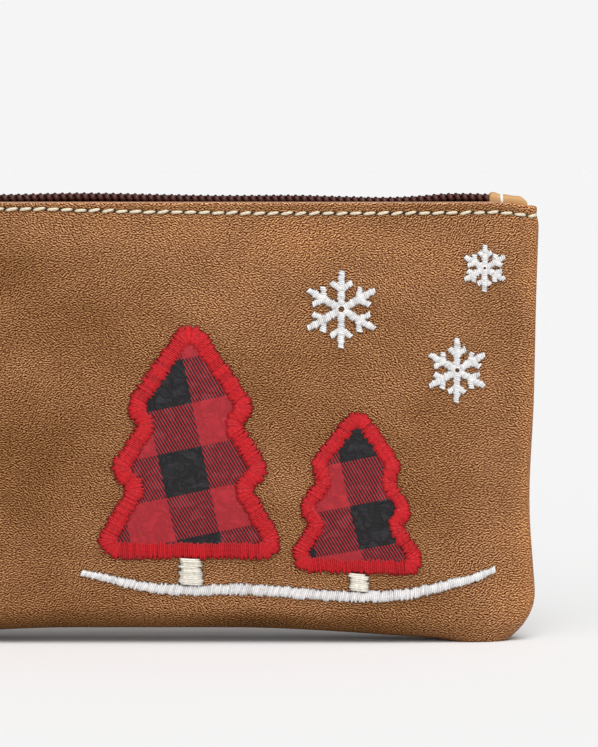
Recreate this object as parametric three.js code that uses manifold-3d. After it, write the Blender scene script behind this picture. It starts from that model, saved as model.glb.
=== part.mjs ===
// A small soft leather zip pouch, closed, standing on its two bottom corners.
// Two panels are sewn together along the sides and the bottom and turned out, so the seam shows as a line.
// A coil zip closes the mouth between their top edges, and winter trees are applied to the front panel.
// Millimetres. +Z is up, -Y is the front, and the origin is on the floor under the middle of the pouch.
import * as THREE from "three";
import { mergeVertices } from "three/addons/utils/BufferGeometryUtils.js";
import Module from "manifold-3d";

const { clamp, lerp, smoothstep } = THREE.MathUtils;

// Driving dimensions of the leather body
const POUCH_WIDTH = 179;
const POUCH_HEIGHT = 101.8;
const LEATHER = 1.4;
const CORNER_RADIUS = 12;
const SEAM_GAP = 0.3;
const EDGE_DEPTH = 3;
const SIDE_ROLL = 3;
const BOTTOM_ROLL = 7.5;
const BOTTOM_ROLL_TOP = 25;
const ROLL_SQUARENESS = 2.8;
const ARCH_RISE = 3;
const ARCH_FROM = 18;
const ARCH_TO = 84;
const FOOT_ACROSS = 76.5;
const FOOT_SPREAD = 6.5;
const FOOT_PRESS = 2.4;
const TOP_CORNER_FROM = 80;
const TOP_CORNER_DROP = 1.1;
const PANEL_COLUMNS = 13;
const PANEL_COLUMN_SPAN = 79.4;
const PANEL_ROWS = 15;
const PANEL_GRADING = 2.2;
const SLOPE_STEP = 0.02;

// The body seen from the side, from the floor up: half its depth in the middle, how squarely that depth is
// kept towards the side seams, and how far the filled body pulls each side seam in.
const SIDE_VIEW = [
  { up: 0, depth: 8.4, squareness: 6, waist: 0 },
  { up: 11, depth: 9.5, squareness: 4.4, waist: 0.7 },
  { up: 32, depth: 10.6, squareness: 2.8, waist: 2.1 },
  { up: 56, depth: 9.6, squareness: 2.8, waist: 1.2 },
  { up: 80, depth: 7.0, squareness: 4.5, waist: 0.4 },
  { up: POUCH_HEIGHT, depth: 5.2, squareness: 10, waist: 0 },
];

// Driving dimensions of the zip
const GAP = 0.3;
const TAPE = 1;
const TAPE_DROP = 11;
const TAPE_END = 85;
const TAPE_EDGE = 0.25;
const CHAIN_WIDTH = 5.8;
const CHAIN_THICKNESS = 2.3;
const CHAIN_END = 77;
const CHAIN_FACETS = 5;
const ZIP_STEPS = 36;

// The chain's middle waves a little along the mouth: how far it lies above the panels' edges.
const CHAIN_CREST = 0.6;
const CHAIN_LINE = [
  { across: -77, rise: 0.3 },
  { across: -66, rise: 0.3 },
  { across: -50, rise: 0.05 },
  { across: -34, rise: 0.25 },
  { across: -16, rise: CHAIN_CREST },
  { across: 3, rise: 0.25 },
  { across: 16, rise: 0.05 },
  { across: 33, rise: 0.1 },
  { across: 44, rise: -0.2 },
  { across: 54, rise: -0.4 },
  { across: 61, rise: -0.1 },
  { across: 68, rise: 0.45 },
  { across: 74, rise: 0.45 },
  { across: 77, rise: 0.35 },
];

// The leather tab that covers an end of the zip: its top above the panels' edges, from the chain outwards.
const END_TAB = [
  { across: 77.6, top: 1.5 },
  { across: 78.3, top: 2.05 },
  { across: 80.4, top: 1.75 },
  { across: 83.2, top: 1.25 },
  { across: 85.0, top: 1.05 },
  { across: 86.0, top: 0.3 },
  { across: 86.5, top: -0.2 },
];
const END_TAB_CROWN = 0.35;

// The slider with its plain pull
const SLIDER_ACROSS = -70;
const SLIDER_LENGTH = 10.5;
const SLIDER_WIDTH = 8.2;
const SLIDER_WALL = 1.2;
const SLIDER_ROUNDING = 2.4;
const FLANGE_LENGTH = 5.7;
const FLANGE_ROUNDING = 0.3;
const BRIDGE_LENGTH = 6;
const BRIDGE_WIDTH = 2.6;
const BRIDGE_HEIGHT = 3.4;
const BRIDGE_ROUNDING = 1.6;
const PULL_LENGTH = 21;
const PULL_WIDTH = 6;
const PULL_SLOPE = 0.075;

// The applied winter trees, in millimetres across and up the flat front panel
const APPLIED_LIFT = 0.3;
const PATCH = 1;
const SATIN = 1.1;
const APPLIED_FACET = 6;
const ARC_FACET = 0.5;
const OUTLINE_ROUNDING = 0.67;
const TREES = [
  { name: "large", across: 9, up: 20, height: 53, width: 42, border: 3.9, trunk: 5.2 },
  { name: "small", across: 48, up: 17, height: 36, width: 30, border: 3.3, trunk: 4.4 },
];
const TREE_TIERS = [
  { base: 0, reach: 1, top: 0.3, neck: 0.56 },
  { base: 0.35, reach: 0.82, top: 0.58, neck: 0.44 },
  { base: 0.63, reach: 0.64, top: 1, neck: 0 },
];
const TREE_TRIM = 0.1;
const PATCH_COLUMNS = [-1, -0.67, -0.33, 0, 0.33, 0.67, 1];
const SNOW_CLEAR = 1.6;
const SNOW_LINE = [
  { across: -16, up: 14.5, width: 1.2 },
  { across: 2, up: 10.6, width: 2.2 },
  { across: 24, up: 10.4, width: 2.4 },
  { across: 42, up: 9.6, width: 2.2 },
  { across: 60, up: 11, width: 2.2 },
  { across: 80, up: 17.5, width: 1.2 },
];
const SNOW_STEPS = 26;
const SNOWFLAKES = [
  { across: 44, up: 77, reach: 9, arm: 1.8 },
  { across: 71, up: 63, reach: 7.2, arm: 1.7 },
  { across: 77, up: 86.5, reach: 5.2, arm: 1.5 },
];
const SNOWFLAKE_ARMS = 6;

const FRONT = -1;
const BACK = 1;

const FINISHES = {
  leather: { color: 0x96663f, roughness: 0.62, metalness: 0 },
  tabLeather: { color: 0xbd8c5c, roughness: 0.6, metalness: 0 },
  zipTape: { color: 0x3a2723, roughness: 0.85, metalness: 0 },
  zipChain: { color: 0x2c1c1a, roughness: 0.45, metalness: 0 },
  sliderMetal: { color: 0x5a4632, roughness: 0.4, metalness: 0.9 },
  checkedPatch: { color: 0x7a2a2e, roughness: 0.8, metalness: 0 },
  redThread: { color: 0xc0272d, roughness: 0.5, metalness: 0 },
  creamThread: { color: 0xeee8da, roughness: 0.5, metalness: 0 },
  whiteThread: { color: 0xe6e2e0, roughness: 0.5, metalness: 0 },
};

const wasm = await Module();
wasm.setup();

// Small helpers

/** A column of a table at `at`, on a smooth curve through the rows. `key` is the column that orders them. */
function alongTable(rows, key, column, at) {
  const last = rows.length - 1;
  let i = 0;
  while (i < last - 1 && at > rows[i + 1][key]) {
    i += 1;
  }
  const slope = (k) => {
    const before = rows[Math.max(k - 1, 0)];
    const after = rows[Math.min(k + 1, last)];
    return (after[column] - before[column]) / (after[key] - before[key]);
  };
  const span = rows[i + 1][key] - rows[i][key];
  const t = clamp((at - rows[i][key]) / span, 0, 1);
  const start = rows[i][column] * (2 * t ** 3 - 3 * t ** 2 + 1) + slope(i) * span * (t ** 3 - 2 * t ** 2 + t);
  const end = rows[i + 1][column] * (3 * t ** 2 - 2 * t ** 3) + slope(i + 1) * span * (t ** 3 - t ** 2);
  return start + end;
}

/** A solid between an outer and an inner grid of points. A closed one joins its last column to its first. */
function sheetSolid(columns, rows, outer, inner, closed = false) {
  const width = columns.length;
  const height = rows.length;
  const grid = (skin) => rows.flatMap((row) => columns.map((column) => skin(column, row)));
  const points = [...grid(outer), ...grid(inner)];
  const at = (layer, i, j) => layer * width * height + j * width + (i % width);
  const faces = [];
  const quad = (a, b, c, d) => faces.push(a, b, c, a, c, d);
  const strips = closed ? width : width - 1;
  for (let i = 0; i < strips; i += 1) {
    for (let j = 0; j < height - 1; j += 1) {
      quad(at(0, i, j), at(0, i + 1, j), at(0, i + 1, j + 1), at(0, i, j + 1));
      quad(at(1, i, j), at(1, i, j + 1), at(1, i + 1, j + 1), at(1, i + 1, j));
    }
    quad(at(0, i, 0), at(1, i, 0), at(1, i + 1, 0), at(0, i + 1, 0));
    quad(at(0, i, height - 1), at(0, i + 1, height - 1), at(1, i + 1, height - 1), at(1, i, height - 1));
  }
  for (let j = 0; j < height - 1 && !closed; j += 1) {
    quad(at(0, 0, j), at(0, 0, j + 1), at(1, 0, j + 1), at(1, 0, j));
    quad(at(0, width - 1, j), at(1, width - 1, j), at(1, width - 1, j + 1), at(0, width - 1, j + 1));
  }
  const geometry = new THREE.BufferGeometry().setFromPoints(points);
  geometry.setIndex(signedVolume(points, faces) < 0 ? faces.reverse() : faces);
  return geometry;
}

/** The volume inside a list of triangles, negative where they face inwards. */
function signedVolume(points, faces) {
  let volume = 0;
  for (let f = 0; f < faces.length; f += 3) {
    const [a, b, c] = [points[faces[f]], points[faces[f + 1]], points[faces[f + 2]]];
    volume += a.dot(b.clone().cross(c)) / 6;
  }
  return volume;
}

/** A named mesh with a material of its own. */
function piece(name, geometry, finish) {
  const mesh = new THREE.Mesh(geometry, new THREE.MeshStandardMaterial(finish));
  mesh.name = name;
  return mesh;
}

/** A geometry as a solid that can be joined to others. */
function solidOf(geometry) {
  const bare = geometry.clone();
  bare.deleteAttribute("normal");
  bare.deleteAttribute("uv");
  const merged = mergeVertices(bare, 1e-4);
  return new wasm.Manifold(
    new wasm.Mesh({
      numProp: 3,
      vertProperties: new Float32Array(merged.getAttribute("position").array),
      triVerts: new Uint32Array(merged.getIndex().array),
    }),
  );
}

/** Several overlapping geometries joined into one. */
function joined(...geometries) {
  const mesh = geometries.map(solidOf).reduce((whole, next) => whole.add(next)).getMesh();
  const geometry = new THREE.BufferGeometry();
  geometry.setAttribute("position", new THREE.BufferAttribute(mesh.vertProperties, 3));
  geometry.setIndex(new THREE.BufferAttribute(mesh.triVerts, 1));
  return geometry;
}

// The leather body. A place on a panel is given across and up the flat leather, before it is filled.

/** How far a place lies inside the seam, which runs down both sides and round the bottom corners. */
function seamDistance(across, up) {
  const past = Math.abs(across) - (POUCH_WIDTH / 2 - CORNER_RADIUS);
  const below = CORNER_RADIUS - up;
  const round = Math.hypot(Math.max(past, 0), Math.max(below, 0));
  return CORNER_RADIUS - (round + Math.min(Math.max(past, below), 0));
}

/** Half the depth of the filled body: a rolled edge at the seam, then the slow swell to the middle. */
function halfDepth(across, up) {
  const rollRadius = lerp(BOTTOM_ROLL, SIDE_ROLL, smoothstep(up, 0, BOTTOM_ROLL_TOP));
  const inward = clamp(seamDistance(across, up) / rollRadius, 0, 1);
  const roll = (1 - (1 - inward) ** ROLL_SQUARENESS) ** (1 / ROLL_SQUARENESS);
  const squareness = alongTable(SIDE_VIEW, "up", "squareness", up);
  const fullness = 1 - (Math.abs(across) / (POUCH_WIDTH / 2)) ** squareness;
  const middle = alongTable(SIDE_VIEW, "up", "depth", up);
  return SEAM_GAP / 2 + roll * (EDGE_DEPTH + (middle - EDGE_DEPTH) * fullness);
}

/** A place on a panel's outer skin before the floor flattens it. */
function looseSkin(side, across, up) {
  const reach = Math.abs(across);
  const high = up / POUCH_HEIGHT;
  const arch = ARCH_RISE * (1 - smoothstep(reach, ARCH_FROM, ARCH_TO)) * (1 - high) ** 2;
  const press = FOOT_PRESS * Math.exp(-(((reach - FOOT_ACROSS) / FOOT_SPREAD) ** 2)) * (1 - high) ** 6;
  const drop = TOP_CORNER_DROP * smoothstep(reach, TOP_CORNER_FROM, POUCH_WIDTH / 2) * high ** 6;
  const waist = alongTable(SIDE_VIEW, "up", "waist", up) / (POUCH_WIDTH / 2);
  return new THREE.Vector3(across * (1 - waist), side * halfDepth(across, up), up + arch - press - drop);
}

/** A place on a panel, `lift` outside its skin or, below 0, inside it. Nothing goes under the floor. */
function panelPoint(side, across, up, lift = 0) {
  const inward = across > 0 ? -SLOPE_STEP : SLOPE_STEP;
  const upward = up > POUCH_HEIGHT / 2 ? -SLOPE_STEP : SLOPE_STEP;
  const here = looseSkin(side, across, up);
  const alongAcross = looseSkin(side, across + inward, up).sub(here).divideScalar(inward);
  const alongUp = looseSkin(side, across, up + upward).sub(here).divideScalar(upward);
  const normal = alongAcross.cross(alongUp).multiplyScalar(-side).normalize();
  const point = here.addScaledVector(normal, lift);
  point.y = side * Math.max(side * point.y, SEAM_GAP / 2);
  point.z = Math.max(point.z, Math.max(-lift, 0));
  return point;
}

/** A place in a square-cornered sheet moved so that the sheet's two bottom corners are round. */
function roundedCorners(across, up) {
  const past = Math.max(Math.abs(across) - (POUCH_WIDTH / 2 - CORNER_RADIUS), 0) / CORNER_RADIUS;
  const below = Math.max(CORNER_RADIUS - up, 0) / CORNER_RADIUS;
  const pastRound = past * Math.sqrt(1 - below ** 2 / 2);
  const belowRound = below * Math.sqrt(1 - past ** 2 / 2);
  return {
    across: across - Math.sign(across) * CORNER_RADIUS * (past - pastRound),
    up: up + CORNER_RADIUS * (below - belowRound),
  };
}

/** Distances from 0 to a span, close together at first and then wider and wider apart. */
function graded(count, span) {
  return Array.from({ length: count + 1 }, (_, k) => span * (k / count) ** PANEL_GRADING);
}

/** One leather panel as a wall. Its grid is fine over the rolled edges and coarse over the flat. */
function panelGeometry(side) {
  const fromMiddle = graded(PANEL_COLUMNS, PANEL_COLUMN_SPAN).map((inward) => POUCH_WIDTH / 2 - inward);
  const columns = [...fromMiddle.map((across) => -across), ...fromMiddle.toReversed()];
  const skin = (lift) => (column, row) => {
    const place = roundedCorners(column, row);
    return panelPoint(side, place.across, place.up, lift);
  };
  return sheetSolid(columns, graded(PANEL_ROWS, POUCH_HEIGHT), skin(0), skin(-LEATHER));
}

// The zip

/** The height of the zip chain's middle, which waves a little along the mouth. */
function chainHeight(across) {
  return POUCH_HEIGHT + alongTable(CHAIN_LINE, "across", "rise", across);
}

/** How far the leather's inner face stands from the middle plane, near the mouth. */
function innerFace(across, up) {
  return Math.abs(panelPoint(FRONT, across, up, -LEATHER).y);
}

/** Evenly spaced places from one end of a run to the other. */
function evenly(from, to, steps) {
  return Array.from({ length: steps + 1 }, (_, k) => lerp(from, to, k / steps));
}

/** Half of the zip tape: a leg that hangs inside its panel, and a ledge under the chain. */
function tapeGeometry(side) {
  const hem = POUCH_HEIGHT - TAPE_DROP;
  const middle = POUCH_HEIGHT - TAPE_DROP / 2;
  const section = (across, inset) => {
    const ledge = chainHeight(across) - CHAIN_THICKNESS / 2 - GAP - inset;
    const wall = (up) => innerFace(across, up) - GAP - inset;
    return [
      { out: wall(hem), up: hem },
      { out: wall(middle), up: middle },
      { out: wall(POUCH_HEIGHT), up: ledge },
      { out: TAPE_EDGE, up: ledge },
    ];
  };
  const skin = (inset) => (across, row) => {
    const { out, up } = section(across, inset)[row];
    return new THREE.Vector3(across, side * out, up);
  };
  return sheetSolid(evenly(-TAPE_END, TAPE_END, ZIP_STEPS), [0, 1, 2, 3], skin(0), skin(TAPE));
}

/** The closed coils as one flat bar along their wavy route. */
function chainGeometry() {
  const places = evenly(-CHAIN_END, CHAIN_END, ZIP_STEPS);
  const route = places.map((across) => new THREE.Vector3(across, 0, chainHeight(across)));
  const section = new THREE.Shape();
  section.absellipse(0, 0, CHAIN_WIDTH / 2, CHAIN_THICKNESS / 2, 0, 2 * Math.PI);
  return new THREE.ExtrudeGeometry(section, {
    steps: ZIP_STEPS,
    curveSegments: CHAIN_FACETS,
    extrudePath: new THREE.CatmullRomCurve3(route),
  });
}

/** The leather tab over one end of the zip, as wide as the mouth is there, on top of the tape. */
function endTabGeometry(end) {
  const columns = END_TAB.map((row) => row.across);
  const rows = [-1, -0.5, 0, 0.5, 1];
  const place = (across, share, height) => {
    const half = innerFace(across, POUCH_HEIGHT) - GAP;
    return new THREE.Vector3(end * across, share * half, height);
  };
  const upper = (across, share) => {
    const top = alongTable(END_TAB, "across", "top", across) - END_TAB_CROWN * share ** 2;
    return place(across, share, POUCH_HEIGHT + top);
  };
  const lower = (across, share) => place(across, share, chainHeight(end * across) - CHAIN_THICKNESS / 2);
  return sheetSolid(columns, rows, upper, lower);
}

/** A rectangle with round ends or corners, centred on the origin. */
function roundedRectangle(length, width, radius) {
  const [x, y] = [length / 2 - radius, width / 2 - radius];
  const shape = new THREE.Shape();
  shape.absarc(x, y, radius, 0, Math.PI / 2);
  shape.absarc(-x, y, radius, Math.PI / 2, Math.PI);
  shape.absarc(-x, -y, radius, Math.PI, 1.5 * Math.PI);
  shape.absarc(x, -y, radius, 1.5 * Math.PI, 2 * Math.PI);
  return shape;
}

/** A flat shape made `depth` thick. */
function plate(shape, depth) {
  return new THREE.ExtrudeGeometry(shape, { depth, bevelEnabled: false, curveSegments: CHAIN_FACETS });
}

/** The slider and its pull as one plain piece: a channel over the chain, a bridge and a flat tongue. */
function sliderGeometry() {
  const channel = POUCH_HEIGHT + CHAIN_CREST + CHAIN_THICKNESS / 2 + GAP;
  const roof = plate(roundedRectangle(SLIDER_LENGTH, SLIDER_WIDTH, SLIDER_ROUNDING), SLIDER_WALL);
  roof.translate(SLIDER_ACROSS, 0, channel);
  const flangeFoot = POUCH_HEIGHT + GAP;
  const flangeWidth = SLIDER_WIDTH / 2 - CHAIN_WIDTH / 2 - GAP;
  const flangeHeight = channel + SLIDER_WALL / 2 - flangeFoot;
  const flanges = [FRONT, BACK].map((side) => {
    const flange = plate(roundedRectangle(FLANGE_LENGTH, flangeWidth, FLANGE_ROUNDING), flangeHeight);
    return flange.translate(SLIDER_ACROSS, (side * (SLIDER_WIDTH - flangeWidth)) / 2, flangeFoot);
  });
  const bridge = plate(roundedRectangle(BRIDGE_LENGTH, BRIDGE_HEIGHT, BRIDGE_ROUNDING), BRIDGE_WIDTH);
  bridge.translate(0, 0, -BRIDGE_WIDTH / 2).rotateX(Math.PI / 2);
  bridge.translate(SLIDER_ACROSS, 0, channel + BRIDGE_HEIGHT / 2 + GAP);
  const pull = plate(roundedRectangle(PULL_LENGTH, PULL_WIDTH, SLIDER_ROUNDING), SLIDER_WALL);
  pull.translate(PULL_LENGTH / 2, 0, 0).rotateY(PULL_SLOPE);
  pull.translate(SLIDER_ACROSS, 0, channel + BRIDGE_HEIGHT / 2);
  return joined(roof, ...flanges, bridge, pull);
}

// The applied winter trees

/** An outline through corner points, each corner rounded by an arc, and no long step between its points. */
function roundedOutline(corners, radius) {
  const outline = [];
  corners.forEach((corner, k) => {
    const before = corners[(k + corners.length - 1) % corners.length].clone().sub(corner).normalize();
    const after = corners[(k + 1) % corners.length].clone().sub(corner).normalize();
    const half = Math.acos(clamp(before.dot(after), -1, 1)) / 2;
    const centre = before.clone().add(after).normalize().multiplyScalar(radius / Math.sin(half)).add(corner);
    const from = before.clone().multiplyScalar(radius / Math.tan(half)).add(corner).sub(centre);
    const turn = -Math.sign(before.cross(after)) * (Math.PI - 2 * half);
    const steps = Math.max(2, Math.round(Math.abs(turn) / ARC_FACET));
    for (let i = 0; i <= steps; i += 1) {
      outline.push(from.clone().rotateAround(new THREE.Vector2(), (turn * i) / steps).add(centre));
    }
  });
  return outline.flatMap((point, k) => {
    const next = outline[(k + 1) % outline.length];
    const parts = Math.ceil(point.distanceTo(next) / APPLIED_FACET);
    return Array.from({ length: parts }, (_, i) => point.clone().lerp(next, i / parts));
  });
}

/** A closed outline moved outwards by `by`, or inwards where by is below 0. It runs anticlockwise. */
function offsetOutline(outline, by) {
  const count = outline.length;
  return outline.map((point, k) => {
    const along = outline[(k + 1) % count].clone().sub(outline[(k + count - 1) % count]).normalize();
    return new THREE.Vector2(along.y, -along.x).multiplyScalar(by).add(point);
  });
}

/** A tree's outline about the middle of its foot, with a tip and a neck on each side of every tier. */
function treeOutline(tree) {
  const rightSide = TREE_TIERS.flatMap((tier) => [
    new THREE.Vector2((tier.reach * tree.width) / 2, tier.base * tree.height),
    new THREE.Vector2((tier.neck * tree.width) / 2, tier.top * tree.height),
  ]);
  const leftSide = rightSide.slice(0, -1).reverse().map((p) => new THREE.Vector2(-p.x, p.y));
  return roundedOutline([...rightSide, ...leftSide], OUTLINE_ROUNDING * tree.border);
}

/** A sheet laid on the front panel. `place` gives across and up for a column and a row of it. */
function appliedSheet(columns, rows, place, thickness, closed = false) {
  const skin = (lift) => (column, row) => {
    const [across, up] = place(column, row);
    return panelPoint(FRONT, across, up, lift);
  };
  return sheetSolid(columns, rows, skin(APPLIED_LIFT + thickness), skin(APPLIED_LIFT), closed);
}

/** One tree: a checked patch, the satin border round it, and a satin trunk. */
function treePieces(tree) {
  const outline = treeOutline(tree);
  const place = (x, y) => [tree.across + x, tree.up + y];
  const inside = offsetOutline(outline, -tree.border / 2 - GAP);
  const foot = Math.min(...inside.map((p) => p.y));
  const rightEdge = inside.filter((p, k) => {
    const leavesFoot = inside[(k + 1) % inside.length].y > foot + TREE_TRIM;
    return p.x > TREE_TRIM && (p.y > foot + TREE_TRIM || leavesFoot);
  });
  const patch = appliedSheet(PATCH_COLUMNS, rightEdge, (share, p) => place(share * p.x, p.y), PATCH);
  const rims = [-tree.border / 2, 0, tree.border / 2].map((by) => offsetOutline(outline, by));
  const ring = appliedSheet([...outline.keys()], rims, (k, rim) => place(rim[k].x, rim[k].y), SATIN, true);
  const top = -tree.border / 2 - GAP;
  const bottom = alongTable(SNOW_LINE, "across", "up", tree.across) + SNOW_CLEAR - tree.up;
  const trunk = appliedSheet([-0.5, 0, 0.5], [bottom, top], (s, y) => place(s * tree.trunk, y), SATIN);
  return [
    piece(`tree_patch_${tree.name}`, patch, FINISHES.checkedPatch),
    piece(`tree_border_${tree.name}`, ring, FINISHES.redThread),
    piece(`tree_trunk_${tree.name}`, trunk, FINISHES.creamThread),
  ];
}

/** The satin line of snow under the trees, thin at both ends. */
function snowLineGeometry() {
  const spine = evenly(SNOW_LINE[0].across, SNOW_LINE.at(-1).across, SNOW_STEPS);
  const place = (across, share) => {
    const width = alongTable(SNOW_LINE, "across", "width", across);
    return [across, alongTable(SNOW_LINE, "across", "up", across) + share * width];
  };
  return appliedSheet(spine, [-0.5, 0.5], place, SATIN);
}

/** A snowflake of six straight satin arms. */
function snowflakeGeometry(flake) {
  const outline = [];
  const half = Math.PI / SNOWFLAKE_ARMS;
  for (let k = 0; k < SNOWFLAKE_ARMS; k += 1) {
    const turn = 2 * half * k + Math.PI / 2;
    const crotch = flake.arm / 2 / Math.sin(half);
    const armPoints = [
      new THREE.Vector2(flake.reach, -flake.arm / 2),
      new THREE.Vector2(flake.reach, flake.arm / 2),
      new THREE.Vector2(crotch * Math.cos(half), crotch * Math.sin(half)),
    ];
    outline.push(...armPoints.map((p) => p.rotateAround(new THREE.Vector2(), turn)));
  }
  const flat = new THREE.ExtrudeGeometry(new THREE.Shape(outline), { depth: SATIN, bevelEnabled: false });
  const places = flat.getAttribute("position");
  for (let i = 0; i < places.count; i += 1) {
    const lift = APPLIED_LIFT + places.getZ(i);
    const point = panelPoint(FRONT, flake.across + places.getX(i), flake.up + places.getY(i), lift);
    places.setXYZ(i, point.x, point.y, point.z);
  }
  return flat;
}

// The whole pouch

const body = new THREE.Group();
body.add(
  piece("front_panel", panelGeometry(FRONT), FINISHES.leather),
  piece("back_panel", panelGeometry(BACK), FINISHES.leather),
);

const zip = new THREE.Group();
zip.add(
  piece("zip_tape_front", tapeGeometry(FRONT), FINISHES.zipTape),
  piece("zip_tape_back", tapeGeometry(BACK), FINISHES.zipTape),
  piece("zip_chain", chainGeometry(), FINISHES.zipChain),
  piece("zip_slider", sliderGeometry(), FINISHES.sliderMetal),
  piece("zip_tab_right", endTabGeometry(1), FINISHES.tabLeather),
  piece("zip_tab_left", endTabGeometry(-1), FINISHES.tabLeather),
);

const applied = new THREE.Group();
TREES.forEach((tree) => applied.add(...treePieces(tree)));
applied.add(piece("snow_line", snowLineGeometry(), FINISHES.whiteThread));
SNOWFLAKES.forEach((flake, k) => {
  applied.add(piece(`snowflake_${k + 1}`, snowflakeGeometry(flake), FINISHES.whiteThread));
});

const pouch = new THREE.Group();
pouch.add(body, zip, applied);

export default pouch;
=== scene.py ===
"""A small soft leather zip pouch with applied winter trees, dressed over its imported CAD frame.

Shapes are worked out in millimetres, in the CAD's own frame: +Z is up, -Y is the front, and the origin
is on the floor under the middle of the pouch. They become metres when a mesh is made.
"""

from collections import namedtuple

import bpy
import numpy as np
from bpy.props import FloatProperty, FloatVectorProperty, PointerProperty
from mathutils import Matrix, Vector


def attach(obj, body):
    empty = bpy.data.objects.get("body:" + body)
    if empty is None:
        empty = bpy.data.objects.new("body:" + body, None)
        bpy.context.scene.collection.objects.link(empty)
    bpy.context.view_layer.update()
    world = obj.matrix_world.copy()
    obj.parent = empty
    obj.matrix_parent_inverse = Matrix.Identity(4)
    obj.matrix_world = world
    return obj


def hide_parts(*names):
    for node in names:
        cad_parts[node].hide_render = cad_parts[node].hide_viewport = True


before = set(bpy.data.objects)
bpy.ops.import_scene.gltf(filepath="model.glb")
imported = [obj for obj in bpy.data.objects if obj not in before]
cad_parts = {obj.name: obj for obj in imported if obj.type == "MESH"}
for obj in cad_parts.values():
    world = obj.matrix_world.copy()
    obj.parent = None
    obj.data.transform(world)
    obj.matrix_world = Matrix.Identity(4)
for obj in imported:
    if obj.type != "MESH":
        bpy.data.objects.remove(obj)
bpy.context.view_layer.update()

bl_info = {
    "name": "Leather zip pouch",
    "version": (1, 0, 0),
    "blender": (4, 5, 0),
    "location": "3D View > Sidebar > Pouch",
    "description": "A small soft leather zip pouch with applied winter trees",
    "category": "Add Mesh",
}

MM = 0.001
FRONT = -1
BACK = 1
SIDES = {"front": FRONT, "back": BACK}
ENDS = {"right": 1, "left": -1}
SEEDS = {"stitching": 11, "trees": 23, "snow": 37}

# The leather body, with the CAD's own values
POUCH_WIDTH = 179.0
POUCH_HEIGHT = 101.8
HALF_WIDTH = POUCH_WIDTH / 2
LEATHER = 1.4
CORNER_RADIUS = 12.0
SEAM_GAP = 0.06
EDGE_DEPTH = 3.0
SIDE_ROLL = 3.0
BOTTOM_ROLL = 7.5
BOTTOM_ROLL_TOP = 25.0
ROLL_SQUARENESS = 2.8
ARCH_RISE = 3.0
ARCH_FROM = 18.0
ARCH_TO = 84.0
FOOT_ACROSS = 76.5
FOOT_SPREAD = 6.5
FOOT_PRESS = 2.4
TOP_CORNER_FROM = 80.0
TOP_CORNER_DROP = 1.1

# By height: half the depth, how squarely it falls off to the sides, and how far the sides are drawn in
SIDE_VIEW = {
    "up": (0, 11, 32, 56, 80, POUCH_HEIGHT),
    "depth": (8.4, 9.5, 10.6, 9.6, 7.0, 5.2),
    "squareness": (6, 4.4, 2.8, 2.8, 4.5, 10),
    "waist": (0, 0.7, 2.1, 1.2, 0.75, 0.1),
}

# Near the top the sides are drawn in a little more than the CAD's, and the top corners lean in further
TOP_CORNER_LEAN = 0.7
TOP_CORNER_HIGH = 6.5

# Dents and swells of the filled leather, as rows of across, up, wide, high and how far out they stand
DENTS = (
    (-38, 70, 16, 12, -0.45),
    (20, 88, 26, 7, 0.35),
    (82, 48, 5, 22, -0.4),
    (60, 30, 14, 10, 0.3),
    (-62, 36, 12, 16, 0.35),
    (-8, 44, 22, 9, -0.35),
    (34, 58, 12, 9, 0.3),
    (-84, 52, 5, 24, -0.4),
)

# Lighter and darker clouds of the leather, as rows of across, up, wide, high and how light they are.
# Some are the leather's own mottling, and some are painted light and shade: lighter along the top and
# at the bottom right corner, darker at the very bottom
CLOUDS_AND_PAINTED_LIGHT = (
    (28, 91, 28, 9, 0.3),
    (8, 97, 16, 4, 0.15),
    (57, 91, 20, 9, 0.45),
    (82, 97, 8, 5, 0.2),
    (-30, 64, 7, 5, 0.2),
    (64, 65, 9, 8, 0.1),
    (-33, 85, 12, 7, -0.2),
    (-31, 29, 9, 8, -0.22),
    (-12, 18, 14, 8, 0.3),
    (-64, 74, 10, 6, 0.12),
    (-58, 50, 12, 9, -0.1),
    (-40, 52, 30, 22, -0.17),
    (9, 77, 13, 6, 0.2),
    (56, 50, 9, 6, 0.15),
    (84, 6, 9, 6, 0.4),
    (76, 62, 5, 5, 0.15),
    (83, 35, 6, 25, 0.1),
    (24, 2.5, 16, 2.5, -0.28),
    (15, 10, 10, 3, 0.2),
)

# How light the leather is: plain, where it is rubbed, in the band above the stitches, and along the bottom,
# where it is darkened by painted shade
PLAIN_TONE = 1.02
RUBBED_TONE = 0.45
BAND_TONE = -0.12
BOTTOM_PAINTED_SHADE = -0.4
RUBBED_SIDE = 3.0
RUBBED_RIM = 0.6
BAND_BELOW_TOP = 1.4
BAND_SPREAD = 0.7
BOTTOM_PAINTED_SHADE_UP = (0.5, 7)
BOTTOM_PAINTED_SHADE_ACROSS = (45, 75)

# The panels' grid, fine over the rolled edges and along the stitched top
COLUMN_STEP = 0.53
ROLL_COLUMNS = 14
ROLL_ROWS = 22
ROW_STEP = 1.35
TOP_BAND = 6.8
TOP_ROW_STEP = 0.27
EDGE_ARC = 9
EDGE_SQUARENESS = 0.7
SLOPE_STEP = 0.02

# The seam round the sides and the bottom, which draws the leather in
SEAM_TUCK = 0.6
SEAM_SHOULDER = 0.55
SEAM_STITCH = 3.4
SEAM_STITCH_PULL = 0.3

# The row of stitches along the top, which wanders about its level line, and how far its stitches stray
STITCH_SHIFT = -0.48
STITCH_END = 89.2
STITCH_PAST_SEAM = 0.2
STITCH_LINE = {
    "across": (-HALF_WIDTH, -32, 3, 31, 62, HALF_WIDTH),
    "fall": (-0.5, -0.6, 0.12, 0.38, 0.35, 0.1),
}
STITCH_STRAY = {"length": 0.05, "slant": 0.6, "place": 0.08, "lift": 0.04}
STITCH_POINTS = 9
STITCH_LIFT = 0.18
STITCH_DIVE = 0.75
STITCH_TAPER = 0.55
STITCH_OVAL = 1.1

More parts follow.
